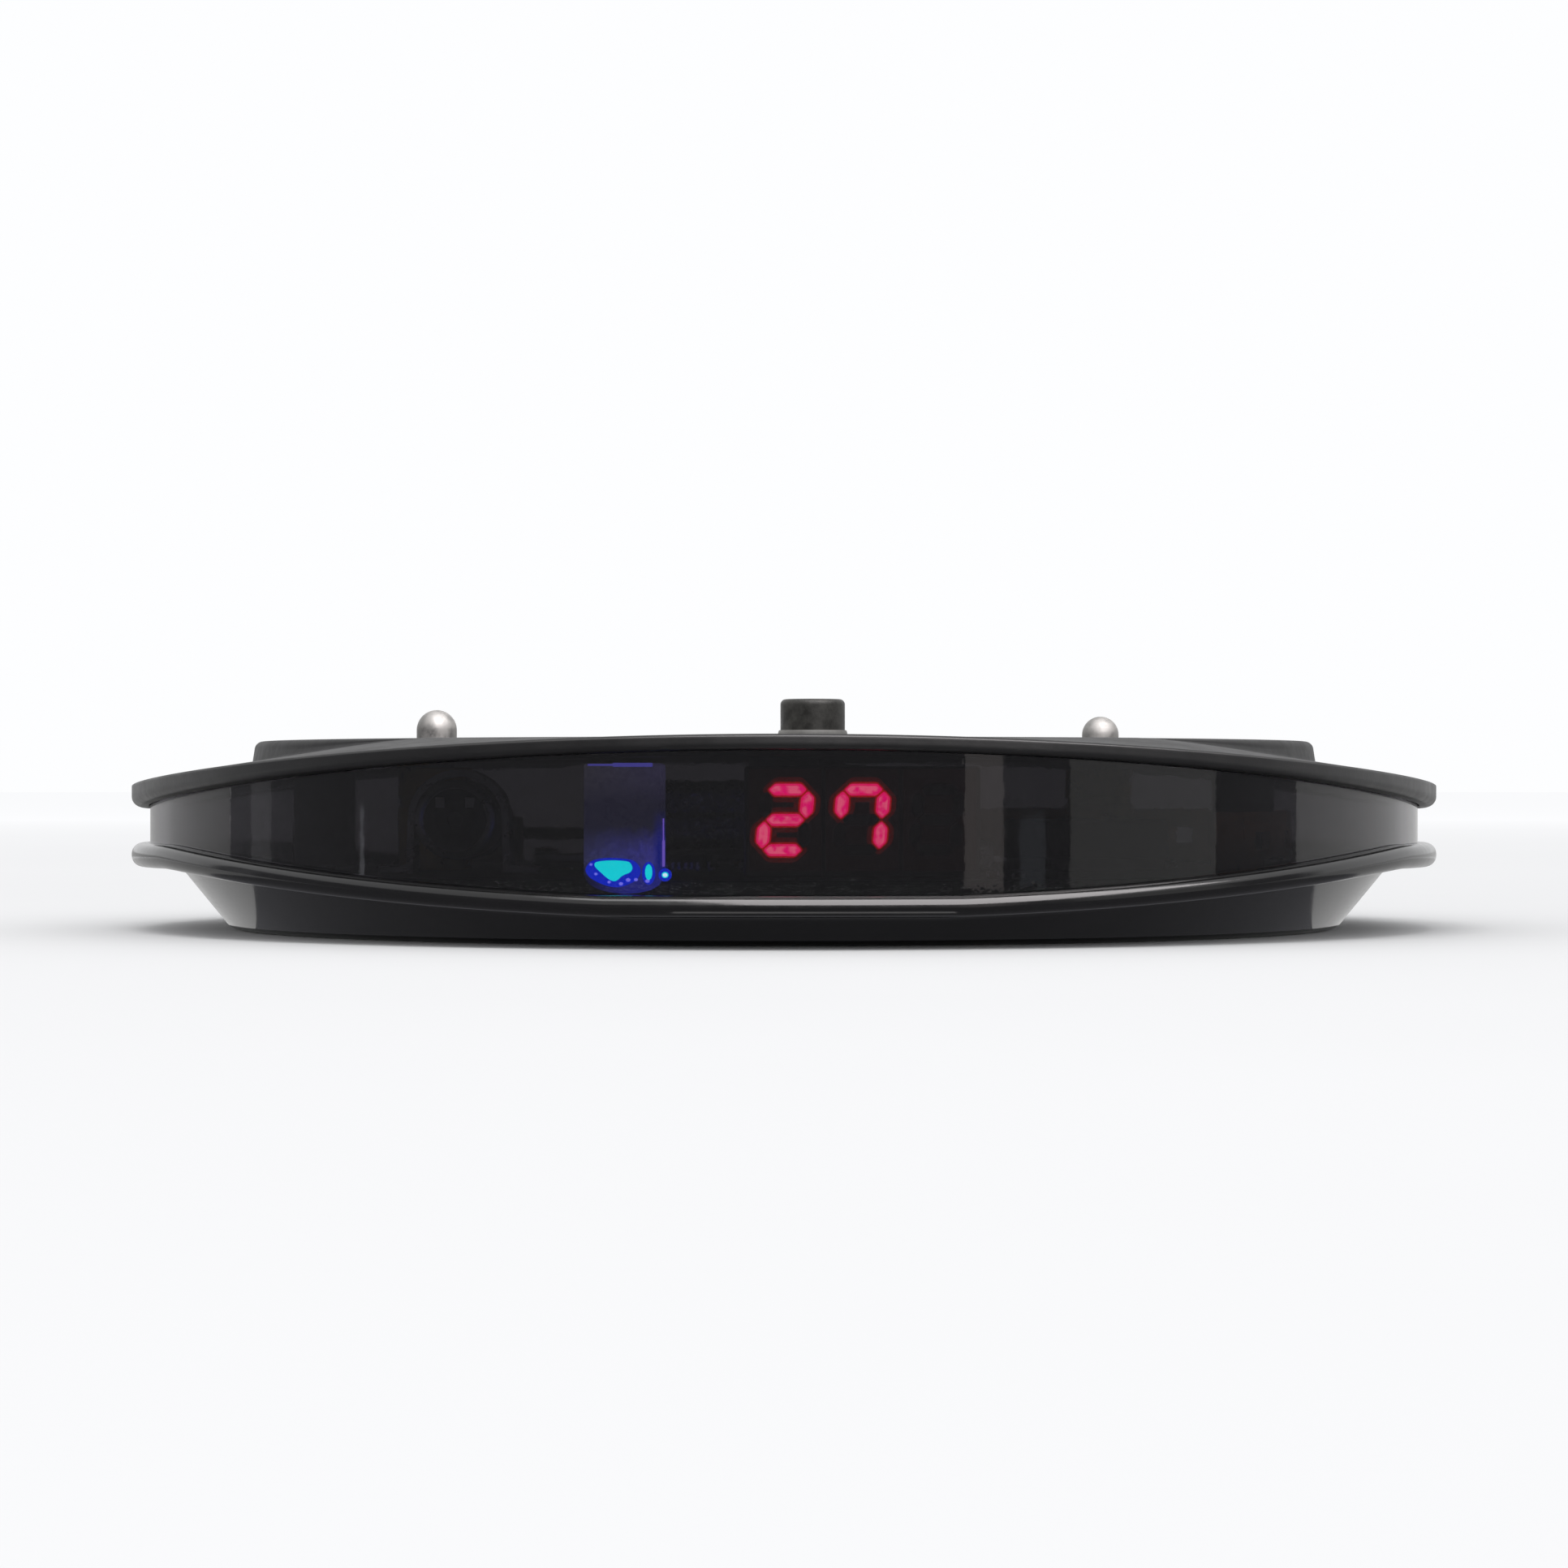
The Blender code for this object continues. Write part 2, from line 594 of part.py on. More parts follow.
def make_circuit_board():
    green = principled("circuit_board_green", (0.02, 0.09, 0.04), 0.45)
    disc = bmesh.new()
    add_cylinder(disc, (0.0, 0.0), BOARD_RADIUS, BOARD_BOTTOM, BOARD_TOP, 64)
    board = finish_part("circuit_board", disc, green, smooth_angle=30)
    holes = bmesh.new()
    for place in screw_places():
        add_cylinder(holes, place, SCREW_HOLE_RADIUS, BOARD_BOTTOM - MM, BOARD_TOP + MM, 12)
    add_cylinder(holes, (POST_X, 0.0), BOARD_SOCKET_HOLE_RADIUS, BOARD_BOTTOM - MM, BOARD_TOP + MM)
    add_boolean(board, finish_cutter("board_holes", holes), "DIFFERENCE")


def segment_outline(start, end):
    """Long hexagon between two points of the digit's spine, as (x, z) points."""
    along = (end - start).normalized()
    across = Vector((-along.y, along.x)) * (SEGMENT_WIDTH / 2)
    first = start + along * SEGMENT_BREAK
    last = end - along * SEGMENT_BREAK
    point = along * (SEGMENT_WIDTH / 2)
    return [first, first + point + across, last - point + across,
            last, last - point - across, first + point - across]


def digit_segments():
    """Centre lines of the seven segments, about the digit's middle."""
    x = DIGIT_SPAN / 2
    z = DIGIT_SPINE / 2
    left = [Vector((-x, height)) for height in (z, 0.0, -z)]
    right = [Vector((x, height)) for height in (z, 0.0, -z)]
    across = list(zip(left, right))
    upright = [pair for side in (left, right) for pair in zip(side, side[1:])]
    return across + upright


def add_segment(mesh_builder, digit_x, start, end):
    """One segment as a slanted hexagonal block that stands out of the digit's plate."""
    front = DIGIT_FRONT_Y
    layers = []
    for y in (front, front + 1.5 * SEGMENT_DEPTH):
        layers.append([mesh_builder.verts.new((digit_x + spot.x + DIGIT_SLANT * spot.y, y,
                                               DISPLAY_HEIGHT + spot.y))
                       for spot in segment_outline(start, end)])
    mesh_builder.faces.new(layers[0])
    mesh_builder.faces.new(list(reversed(layers[1])))
    for index in range(len(layers[0])):
        after = (index + 1) % len(layers[0])
        mesh_builder.faces.new((layers[0][index], layers[1][index],
                                layers[1][after], layers[0][after]))


def make_digit(number, digit_x):
    """Light pipe of one digit: a thin plate with seven raised segments."""
    epoxy = principled("digit_%d_epoxy" % number, (0.6, 0.04, 0.07), 0.4, emission=1.0)
    plate = bmesh.new()
    plate_centre = (digit_x, DIGIT_FRONT_Y + 1.5 * SEGMENT_DEPTH, DISPLAY_HEIGHT)
    add_box(plate, plate_centre, (DIGIT_PITCH - GAP, SEGMENT_DEPTH, DIGIT_PLATE_HEIGHT))
    digit = finish_part("digit_%d" % number, plate, epoxy)
    segments = bmesh.new()
    for start, end in digit_segments():
        add_segment(segments, digit_x, start, end)
    bmesh.ops.recalc_face_normals(segments, faces=segments.faces)
    add_boolean(digit, finish_cutter("digit_%d_segments" % number, segments), "UNION")


def make_display():
    grey = principled("display_body_grey", (0.03, 0.03, 0.032), 0.5)
    middle_x = FIRST_DIGIT_X + DIGIT_PITCH
    box_on_board("display_module", (middle_x, DISPLAY_FACE_Y + DISPLAY_SIZE[1] / 2), DISPLAY_SIZE, grey)
    strip_black = principled("header_strip_black", (0.03, 0.03, 0.03), 0.5)
    back = DISPLAY_FACE_Y + DISPLAY_SIZE[1] + GAP
    header_middle = (middle_x, back + HEADER_SIZE[1] / 2)
    header = box_on_board("display_header", header_middle, HEADER_SIZE, strip_black)
    posts = bmesh.new()
    for index in range(LEAD_COUNT):
        x = middle_x + LEAD_PITCH * (index - (LEAD_COUNT - 1) / 2)
        add_box(posts, (x, header_middle[1], SEAT + LEAD_SIZE[2] / 2), LEAD_SIZE)
    add_boolean(header, finish_cutter("header_posts", posts), "UNION")
    for index in range(DIGIT_COUNT):
        make_digit(index + 1, FIRST_DIGIT_X + DIGIT_PITCH * index)


def make_light_guide_and_lamps():
    clear = principled("clear_guide", (0.75, 0.8, 0.9), 0.05, transmission=0.9)
    middle = (GUIDE_FRONT_LEFT[0] + GUIDE_SIZE[0] / 2, GUIDE_FRONT_LEFT[1] + GUIDE_SIZE[1] / 2)
    box_on_board("light_guide", middle, GUIDE_SIZE, clear, 0.25 * MM)
    blue = principled("blue_lamp", (0.05, 0.25, 1.0), 0.3, emission=4.0)
    box_on_board("blue_lamp", BLUE_LAMP_PLACE, LAMP_SIZE, blue)
    red = principled("alert_lamp_body", (0.5, 0.42, 0.36), 0.4)
    for number, degrees in enumerate(ALERT_LAMP_ANGLES, start=1):
        turn = math.radians(degrees)
        lamp = bmesh.new()
        centre = (ALERT_LAMP_CIRCLE * math.cos(turn), ALERT_LAMP_CIRCLE * math.sin(turn),
                  SEAT + LAMP_SIZE[2] / 2)
        add_box(lamp, centre, (LAMP_SIZE[1], LAMP_SIZE[0], LAMP_SIZE[2]), turn)
        finish_part("alert_lamp_%d" % number, lamp, red)


def cylinder_along_y(name, radius, front, back, material, sides=24):
    """Round piece on the motor's axis, with its origin on that axis."""
    barrel = bmesh.new()
    bmesh.ops.create_cone(barrel, cap_ends=True, segments=sides, radius1=radius, radius2=radius,
                          depth=back - front, matrix=Matrix.Rotation(math.pi / 2, 4, "X"))
    part = finish_part(name, barrel, material, smooth_angle=30)
    part.location = (MOTOR_X, (front + back) / 2, MOTOR_HEIGHT)
    return part


def arc_points(radius, start_degrees, end_degrees, steps):
    turns = [math.radians(start_degrees + (end_degrees - start_degrees) * step / steps)
             for step in range(steps + 1)]
    return [(radius * math.cos(turn), radius * math.sin(turn)) for turn in turns]


def plate_across_y(name, outline, thickness, centre_y, material):
    """Flat outline of (x, z) points about the motor's axis, given a thickness along Y."""
    curve = bpy.data.curves.new(name, "CURVE")
    curve.dimensions = "2D"
    curve.fill_mode = "BOTH"
    curve.extrude = thickness / 2
    curve.materials.append(material)
    spline = curve.splines.new("POLY")
    spline.points.add(len(outline) - 1)
    spline.use_cyclic_u = True
    for point, (x, z) in zip(spline.points, outline):
        point.co = (x, z, 0.0, 1.0)
    part = bpy.data.objects.new(name, curve)
    part.rotation_euler = (math.pi / 2, 0.0, 0.0)
    part.location = (MOTOR_X, centre_y, MOTOR_HEIGHT)
    PARTS.objects.link(part)
    return part


def curve_to_mesh(part):
    """Replace a curve object with a welded mesh of the same name and place."""
    bpy.context.view_layer.update()
    evaluated = part.evaluated_get(bpy.context.evaluated_depsgraph_get())
    mesh = bpy.data.meshes.new_from_object(evaluated)
    welded = bmesh.new()
    welded.from_mesh(mesh)
    bmesh.ops.remove_doubles(welded, verts=welded.verts, dist=0.000001)
    welded.to_mesh(mesh)
    welded.free()
    name = part.name
    place = part.matrix_world.copy()
    bpy.data.objects.remove(part, do_unlink=True)
    solid = bpy.data.objects.new(name, mesh)
    solid.matrix_world = place
    PARTS.objects.link(solid)
    return solid


def make_motor():
    steel = principled("motor_can_steel", (0.55, 0.55, 0.56), 0.3, metallic=1.0)
    cylinder_along_y("motor_can", MOTOR_RADIUS, MOTOR_FRONT_Y, MOTOR_BACK_Y, steel)
    shaft_steel = principled("motor_shaft_steel", (0.6, 0.6, 0.6), 0.25, metallic=1.0)
    cylinder_along_y("motor_shaft", SHAFT_RADIUS, MOTOR_BACK_Y + GAP, SHAFT_END_Y, shaft_steel, 12)
    tungsten = principled("weight_tungsten", (0.28, 0.27, 0.26), 0.4, metallic=1.0)
    outline = arc_points(WEIGHT_RADIUS, 195, 345, 14) + arc_points(WEIGHT_HUB_RADIUS, -10, 190, 12)
    weight = plate_across_y("eccentric_weight", outline, WEIGHT_BACK_Y - WEIGHT_FRONT_Y,
                            (WEIGHT_FRONT_Y + WEIGHT_BACK_Y) / 2, tungsten)
    weight = curve_to_mesh(weight)
    bore = bmesh.new()
    middle_y = (WEIGHT_FRONT_Y + WEIGHT_BACK_Y) / 2
    place = Matrix.Translation((MOTOR_X, middle_y, MOTOR_HEIGHT)) @ Matrix.Rotation(math.pi / 2, 4, "X")
    bmesh.ops.create_cone(bore, cap_ends=True, segments=12, radius1=SHAFT_RADIUS + GAP,
                          radius2=SHAFT_RADIUS + GAP, depth=5 * MM, matrix=place)
    add_boolean(weight, finish_cutter("weight_bore", bore), "DIFFERENCE")
    make_motor_clip()


def make_motor_clip():
    """Spring clip arched over the motor, with a foot on the board at each side."""
    strip = principled("clip_strip", (0.5, 0.5, 0.5), 0.35, metallic=1.0)
    inner = MOTOR_RADIUS + GAP
    outer = inner + CLIP_THICKNESS
    foot_bottom = SEAT - MOTOR_HEIGHT
    foot_top = foot_bottom + CLIP_THICKNESS
    outline = [(outer + CLIP_FOOT, foot_bottom), (outer + CLIP_FOOT, foot_top), (outer, foot_top)]
    outline += arc_points(outer, 0, 180, 14)
    outline += [(-outer, foot_top), (-outer - CLIP_FOOT, foot_top), (-outer - CLIP_FOOT, foot_bottom),
                (-inner, foot_bottom)]
    outline += arc_points(inner, 180, 0, 14)
    outline += [(inner, foot_bottom)]
    plate_across_y("motor_clip", outline, CLIP_LENGTH, (MOTOR_FRONT_Y + MOTOR_BACK_Y) / 2, strip)


def make_power():
    foam = principled("foam_pad", (0.12, 0.12, 0.12), 0.95)
    box_on_board("battery_foam", BATTERY_MIDDLE, (BATTERY_SIZE[0], BATTERY_SIZE[1], FOAM_THICKNESS), foam)
    wrap = principled("battery_wrap", (0.55, 0.57, 0.6), 0.35, metallic=0.6)
    cell = bmesh.new()
    bottom = SEAT + FOAM_THICKNESS + GAP
    add_box(cell, (*BATTERY_MIDDLE, bottom + BATTERY_SIZE[2] / 2), BATTERY_SIZE)
    add_bevel(finish_part("battery_cell", cell, wrap), 0.8 * MM, 2)
    ivory = principled("connector_ivory", (0.7, 0.66, 0.55), 0.5)
    box_on_board("battery_connector", CONNECTOR_MIDDLE, CONNECTOR_SIZE, ivory)
    lead_colours = {"red": (0.5, 0.02, 0.02), "black": (0.02, 0.02, 0.02)}
    for number, (colour, shade) in enumerate(lead_colours.items()):
        insulation = principled(colour + "_insulation", shade, 0.5)
        offset = LEAD_SPACING * (number - 0.5)
        tube_along("battery_lead_" + colour, lead_route(offset), LEAD_RADIUS, insulation)


def lead_route(offset):
    """Quarter-turn wire from the battery's left face to the connector's back face."""
    start_x = BATTERY_MIDDLE[0] - BATTERY_SIZE[0] / 2 - GAP
    end_y = CONNECTOR_MIDDLE[1] + CONNECTOR_SIZE[1] / 2 + GAP
    end_x = CONNECTOR_MIDDLE[0] + offset
    start_y = BATTERY_MIDDLE[1] + 3.0 * MM - offset
    height = SEAT + 2.4 * MM
    steps = 12
    points = []
    for step in range(steps + 1):
        turn = math.pi / 2 * step / steps
        points.append((start_x + (end_x - start_x) * math.sin(turn),
                       end_y + (start_y - end_y) * math.cos(turn), height))
    return points


def make_radio_and_chips():
    chip = principled("chip_epoxy", (0.02, 0.02, 0.02), 0.55)
    box_on_board("microcontroller", (-10.0 * MM, -17.0 * MM), (9.0 * MM, 9.0 * MM, 1.3 * MM), chip)
    box_on_board("charge_regulator", (-29.0 * MM, 2.0 * MM), (5.0 * MM, 4.0 * MM, 1.5 * MM), chip)
    tin = principled("shield_tin", (0.6, 0.6, 0.6), 0.3, metallic=1.0)
    box_on_board("radio_shield", (9.0 * MM, -26.0 * MM), (14.0 * MM, 11.0 * MM, 2.4 * MM), tin, 0.3 * MM)
    quartz = principled("crystal_can", (0.62, 0.62, 0.6), 0.25, metallic=1.0)
    box_on_board("crystal", (-18.0 * MM, -9.0 * MM), (5.0 * MM, 3.2 * MM, 1.2 * MM), quartz, 0.25 * MM)


def make_antenna():
    copper = principled("antenna_copper", (0.6, 0.32, 0.18), 0.35, metallic=1.0)
    profile = [(ANTENNA_RADIUS, SEAT + ANTENNA_HEIGHT), (ANTENNA_RADIUS, SEAT)]
    strip = turned_part("antenna_strip", profile, copper, steps=30, sweep=ANTENNA_SWEEP)
    strip.rotation_euler = (0.0, 0.0, ANTENNA_FROM)
    thickness = strip.modifiers.new("thickness", "SOLIDIFY")
    thickness.thickness = ANTENNA_THICKNESS
    thickness.offset = 0.0


def make_buzzer():
    black = principled("buzzer_black", (0.025, 0.025, 0.025), 0.5)
    well_depth = 1.6 * MM
    profile = [
        (0.0, SEAT + BUZZER_HEIGHT - well_depth),
        (BUZZER_PORT_RADIUS, SEAT + BUZZER_HEIGHT - well_depth),
        (BUZZER_PORT_RADIUS, SEAT + BUZZER_HEIGHT),
        (BUZZER_RADIUS, SEAT + BUZZER_HEIGHT),
        (BUZZER_RADIUS, SEAT),
        (0.0, SEAT),
    ]
    turned_part("buzzer", profile, black, BUZZER_PLACE)


def make_label():
    silver = principled("blank_label", (0.55, 0.55, 0.55), 0.5)
    plate = bmesh.new()
    height = LABEL_RECESS - GAP - LABEL_THICKNESS / 2
    add_box(plate, (*LABEL_MIDDLE, height), (*LABEL_SIZE, LABEL_THICKNESS))
    finish_part("underside_label", plate, silver)


make_top_shell()
make_bottom_shell()
make_lens_band()
make_locating_post()
for contact_side, contact_place in contact_places().items():
    make_contact(contact_side, contact_place)
make_screws()
make_circuit_board()
make_display()
make_light_guide_and_lamps()
make_motor()
make_power()
make_radio_and_chips()
make_antenna()
make_buzzer()
make_label()
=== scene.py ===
"""Looks of the coaster pager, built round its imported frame: +Z up, display towards -Y.

The numbers are millimetres. The helpers that add points and nodes turn them into metres.
"""
import json
import math
import random

import bmesh
import bpy
from mathutils import Matrix, Vector


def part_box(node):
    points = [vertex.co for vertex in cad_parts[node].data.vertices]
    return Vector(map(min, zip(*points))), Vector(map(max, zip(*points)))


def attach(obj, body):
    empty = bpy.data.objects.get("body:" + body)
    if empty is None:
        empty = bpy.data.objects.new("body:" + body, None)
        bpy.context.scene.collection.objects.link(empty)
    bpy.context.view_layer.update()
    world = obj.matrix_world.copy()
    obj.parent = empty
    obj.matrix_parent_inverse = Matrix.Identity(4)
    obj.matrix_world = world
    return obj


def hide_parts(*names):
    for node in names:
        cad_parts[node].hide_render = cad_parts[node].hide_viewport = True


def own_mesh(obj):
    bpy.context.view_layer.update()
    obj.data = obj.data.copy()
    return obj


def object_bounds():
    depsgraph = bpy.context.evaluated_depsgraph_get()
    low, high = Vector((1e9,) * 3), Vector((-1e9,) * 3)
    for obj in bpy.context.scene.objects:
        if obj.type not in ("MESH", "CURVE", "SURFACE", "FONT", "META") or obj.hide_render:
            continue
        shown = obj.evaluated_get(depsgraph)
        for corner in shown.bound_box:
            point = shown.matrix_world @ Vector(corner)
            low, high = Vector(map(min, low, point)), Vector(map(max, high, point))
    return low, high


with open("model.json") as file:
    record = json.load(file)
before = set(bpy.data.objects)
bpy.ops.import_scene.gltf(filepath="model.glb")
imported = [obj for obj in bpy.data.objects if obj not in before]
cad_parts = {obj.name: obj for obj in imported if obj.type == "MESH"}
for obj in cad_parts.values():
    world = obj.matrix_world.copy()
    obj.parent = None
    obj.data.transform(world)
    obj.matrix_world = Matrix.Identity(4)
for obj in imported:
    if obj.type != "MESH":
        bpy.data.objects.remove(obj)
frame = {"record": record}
cad_low, cad_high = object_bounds()

MM = 0.001
TURN = 2 * math.pi


def box(node):
    """Low and high corner of a CAD node, in mm."""
    return [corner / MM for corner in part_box(node)]


def middle_of(node):
    low, high = box(node)
    return (low + high) / 2


# Case outline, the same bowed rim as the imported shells
RIM_RADIUS = (cad_high.x - cad_low.x) / 2 / MM
DECK_HEIGHT = next(mount["pos_m"][2] for mount in frame["record"]["mounts"]
                   if mount["name"] == "deck") / MM
DECK_RADIUS = 44.0
DECK_FOOT_RADIUS = 45.2
DECK_EDGE_ROUND = 0.7
ROOF_THICKNESS = 1.6
SADDLE_THICKNESS = 1.5
FOOT_RADIUS = 45.85
CONE_SLOPE = 0.815
FLOOR_THICKNESS = 1.8
LENS_OUTER_RADIUS = box("lens_band")[1].x
LENS_INNER_RADIUS = LENS_OUTER_RADIUS - 1.5
LENS_SEAT = 0.2
SLOT_GAP = 0.1                       # shadow line between the lens and each lip
SLOT_DEPTH = 0.5
CASE_STEPS = 360
SUPPORT = 0.12                       # distance of the extra loops that keep flat faces flat
LONG_STRETCH = 5 * SUPPORT
CORNER_ANGLE = 35.0                  # sharper corners than this stay crisp
SEAT = box("microcontroller")[0].z
BOARD_LOW, BOARD_HIGH = box("circuit_board")
SCREWS = ["case_screw_%d" % number for number in range(1, 5)]
SCREW_PLACES = [middle_of(screw) for screw in SCREWS]
PIN_PLACES = {side: middle_of(side + "_contact_pin") for side in ("left", "right")}
POST_PLACE = middle_of("locating_post")


# ---------------------------------------------------------------- materials

class Surface:
    """A Principled material, with short calls that add the nodes that vary it."""

    def __init__(self, name, colour, roughness, metallic=0.0, glow=None, **plain):
        self.material = bpy.data.materials.new(name)
        self.material.use_nodes = True
        self.tree = self.material.node_tree
        self.shader = self.tree.nodes["Principled BSDF"]
        self.place = self.add("TexCoord").outputs["Object"]
        sockets = {"Base Color": (*colour, 1.0), "Roughness": roughness, "Metallic": metallic}
        if glow:
            sockets["Emission Color"] = (*glow[0], 1.0)
            sockets["Emission Strength"] = glow[1]
        sockets.update({key.replace("_", " "): value for key, value in plain.items()})
        for key, value in sockets.items():
            self.set(self.shader.inputs[key], value)

    def set(self, socket, value):
        if isinstance(value, bpy.types.NodeSocket):
            self.tree.links.new(value, socket)
        else:
            socket.default_value = value

    def add(self, kind, inputs=None, **settings):
        node = self.tree.nodes.new("ShaderNode" + kind)
        for key, value in settings.items():
            setattr(node, key, value)
        for key, value in (inputs or {}).items():
            self.set(node.inputs[key], value)
        return node

    def math(self, operation, first, second):
        return self.add("Math", {0: first, 1: second}, operation=operation).outputs[0]

    def plus(self, first, second):
        return self.math("ADD", first, second)

    def times(self, first, second):
        return self.math("MULTIPLY", first, second)

    def polar(self, centre=(0.0, 0.0), per_radian=3.0):
        """Coordinates whose noise runs in circles about an upright axis."""
        axis = (centre[0] * MM, centre[1] * MM, 0.0)
        moved = self.add("VectorMath", {0: self.place, 1: axis}, operation="SUBTRACT").outputs[0]
        parts = self.add("SeparateXYZ", {0: moved}).outputs
        flat = self.add("CombineXYZ", {0: parts[0], 1: parts[1]}).outputs[0]
        radius = self.add("VectorMath", {0: flat}, operation="LENGTH").outputs["Value"]
        around = self.times(self.math("ARCTAN2", parts[1], parts[0]), per_radian * MM)
        return self.add("CombineXYZ", {0: radius, 1: around, 2: parts[2]}).outputs[0]

    def noise(self, size, detail=2.0, roughness=0.5, place=None):
        inputs = {"Vector": place or self.place, "Scale": 1.0 / (size * MM), "Detail": detail,
                  "Roughness": roughness}
        return self.add("TexNoise", inputs).outputs[0]

    def cells(self, spacing, distance="EUCLIDEAN"):
        inputs = {"Vector": self.place, "Scale": 1.0 / (spacing * MM)}
        return self.add("TexVoronoi", inputs, distance=distance).outputs

    def spread(self, value, low, high, start=0.35, end=0.65):
        """Carry the range from start to end, where most of a noise lies, over to low to high."""
        inputs = {"Value": value, "From Min": start, "From Max": end,
                  "To Min": low, "To Max": high}
        return self.add("MapRange", inputs).outputs[0]

    def mix(self, share, first, second):
        node = self.add("Mix", data_type="RGBA")
        self.set(node.inputs[0], share)
        for socket, colour in ((node.inputs[6], first), (node.inputs[7], second)):
            self.set(socket, (*colour, 1.0) if isinstance(colour, tuple) else colour)
        return node.outputs[2]

    def blend(self, noise, first, second):
        return self.mix(self.spread(noise, 0.0, 1.0), first, second)

    def specks(self, spacing, size, share):
        """1 in small round spots that stand far apart, and 0 between them."""
        cells = self.cells(spacing)
        near = self.math("LESS_THAN", cells["Distance"], size / spacing)
        tint = self.add("SeparateColor", {0: cells["Color"]}).outputs[0]
        return self.times(near, self.math("LESS_THAN", tint, share))

    def bump(self, height, depth, normal=None):
        inputs = {"Strength": 1.0, "Distance": depth * MM, "Height": height}
        if normal is not None:
            inputs["Normal"] = normal
        return self.add("Bump", inputs).outputs[0]

    def use(self, colour, roughness, normal):
        for key, value in (("Base Color", colour), ("Roughness", roughness), ("Normal", normal)):
            self.set(self.shader.inputs[key], value)
        return self.material


def shade(colour, factor):
    return tuple(min(1.0, part * factor) for part in colour)


def detailed(name, colour, roughness, metallic=0.0, grain=0.25, depth=0.006, patch=7.0,
             mottle=0.18, scuff=0.2, stretch=(1.0, 1.0, 1.0), **plain):
    """Patches of colour, uneven gloss and a fine grain."""
    skin = Surface(name, colour, roughness, metallic, **plain)
    place = skin.add("Mapping", {"Vector": skin.place, "Scale": stretch}).outputs[0]
    broad = skin.noise(patch, 4.0, 0.6, place)
    fine = skin.noise(grain, 3.0, 0.6, place)
    middle = skin.noise(grain * 5, 3.0, 0.6, place)
    tone = skin.blend(broad, shade(colour, 1 - mottle), shade(colour, 1 + mottle))
    uneven = skin.plus(skin.times(broad, 0.5), skin.times(middle, 0.5))
    gloss = skin.spread(uneven, roughness * (1 - scuff), min(1.0, roughness * (1 + scuff)))
    return skin.use(tone, gloss, skin.bump(fine, depth))


def shell_plastic(name, colour, roughness, grain_depth, rings, **plain):
    """Black moulding: eroded grain, faint handling marks, and rub rings where pagers stack."""
    skin = Surface(name, colour, roughness, **plain)
    grain = skin.noise(0.2, 2.0, 0.6)
    ripple = skin.noise(1.1, 3.0, 0.55)
    hands = skin.noise(9.0, 5.0, 0.65)
    rubbed = skin.noise(0.22, 4.0, 0.7, skin.polar())
    scratches = skin.spread(rubbed, 0.0, rings, 0.58, 0.72)
    tone = skin.blend(hands, shade(colour, 0.87), shade(colour, 1.17))
    tone = skin.mix(scratches, tone, shade(colour, 5.0))
    dust = skin.specks(2.9, 0.06, 0.16)
    tone = skin.mix(skin.times(dust, 0.5), tone, (0.22, 0.22, 0.24))
    gloss = skin.spread(hands, roughness * 0.93, roughness * 1.08)
    gloss = skin.plus(gloss, skin.spread(ripple, -0.02, 0.03))
    gloss = skin.plus(gloss, skin.times(scratches, 0.12))
    coarse = skin.bump(ripple, grain_depth * 1.6)
    return skin.use(tone, gloss, skin.bump(grain, grain_depth, coarse))


def polished_plastic(name, colour, roughness):
    skin = Surface(name, colour, roughness)
    smears = skin.noise(6.0, 4.0, 0.7)
    hairlines = skin.noise(0.12, 3.0, 0.7, skin.polar(per_radian=1.0))
    tone = skin.blend(smears, shade(colour, 0.85), shade(colour, 1.25))
    gloss = skin.spread(smears, roughness * 0.7, roughness * 1.5)
    gloss = skin.plus(gloss, skin.spread(hairlines, 0.0, 0.06, 0.55, 0.7))
    return skin.use(tone, gloss, skin.bump(hairlines, 0.0006))


def smoked_glass(name, tint):
    skin = Surface(name, tint, 0.03, Transmission_Weight=1.0, IOR=1.49)
    prints = skin.noise(7.0, 5.0, 0.7)
    fine = skin.noise(0.6, 3.0, 0.6)
    gloss = skin.plus(skin.spread(prints, 0.012, 0.045, 0.45, 0.7), skin.spread(fine, 0.0, 0.01))
    tone = skin.blend(prints, shade(tint, 0.94), shade(tint, 1.04))
    return skin.use(tone, gloss, skin.bump(prints, 0.01))


def turned_metal(name, colour, roughness, centre):
    """Metal with the fine rings that a lathe leaves about an upright axis, and some tarnish."""
    skin = Surface(name, colour, roughness, 1.0)
    rings = skin.noise(0.09, 2.0, 0.6, skin.polar(centre, 0.6))
    tarnish = skin.noise(1.4, 4.0, 0.65)
    tone = skin.blend(tarnish, shade(colour, 0.78), shade(colour, 1.06))
    gloss = skin.spread(tarnish, roughness * 0.75, roughness * 1.4)
    return skin.use(tone, gloss, skin.bump(rings, 0.0015))


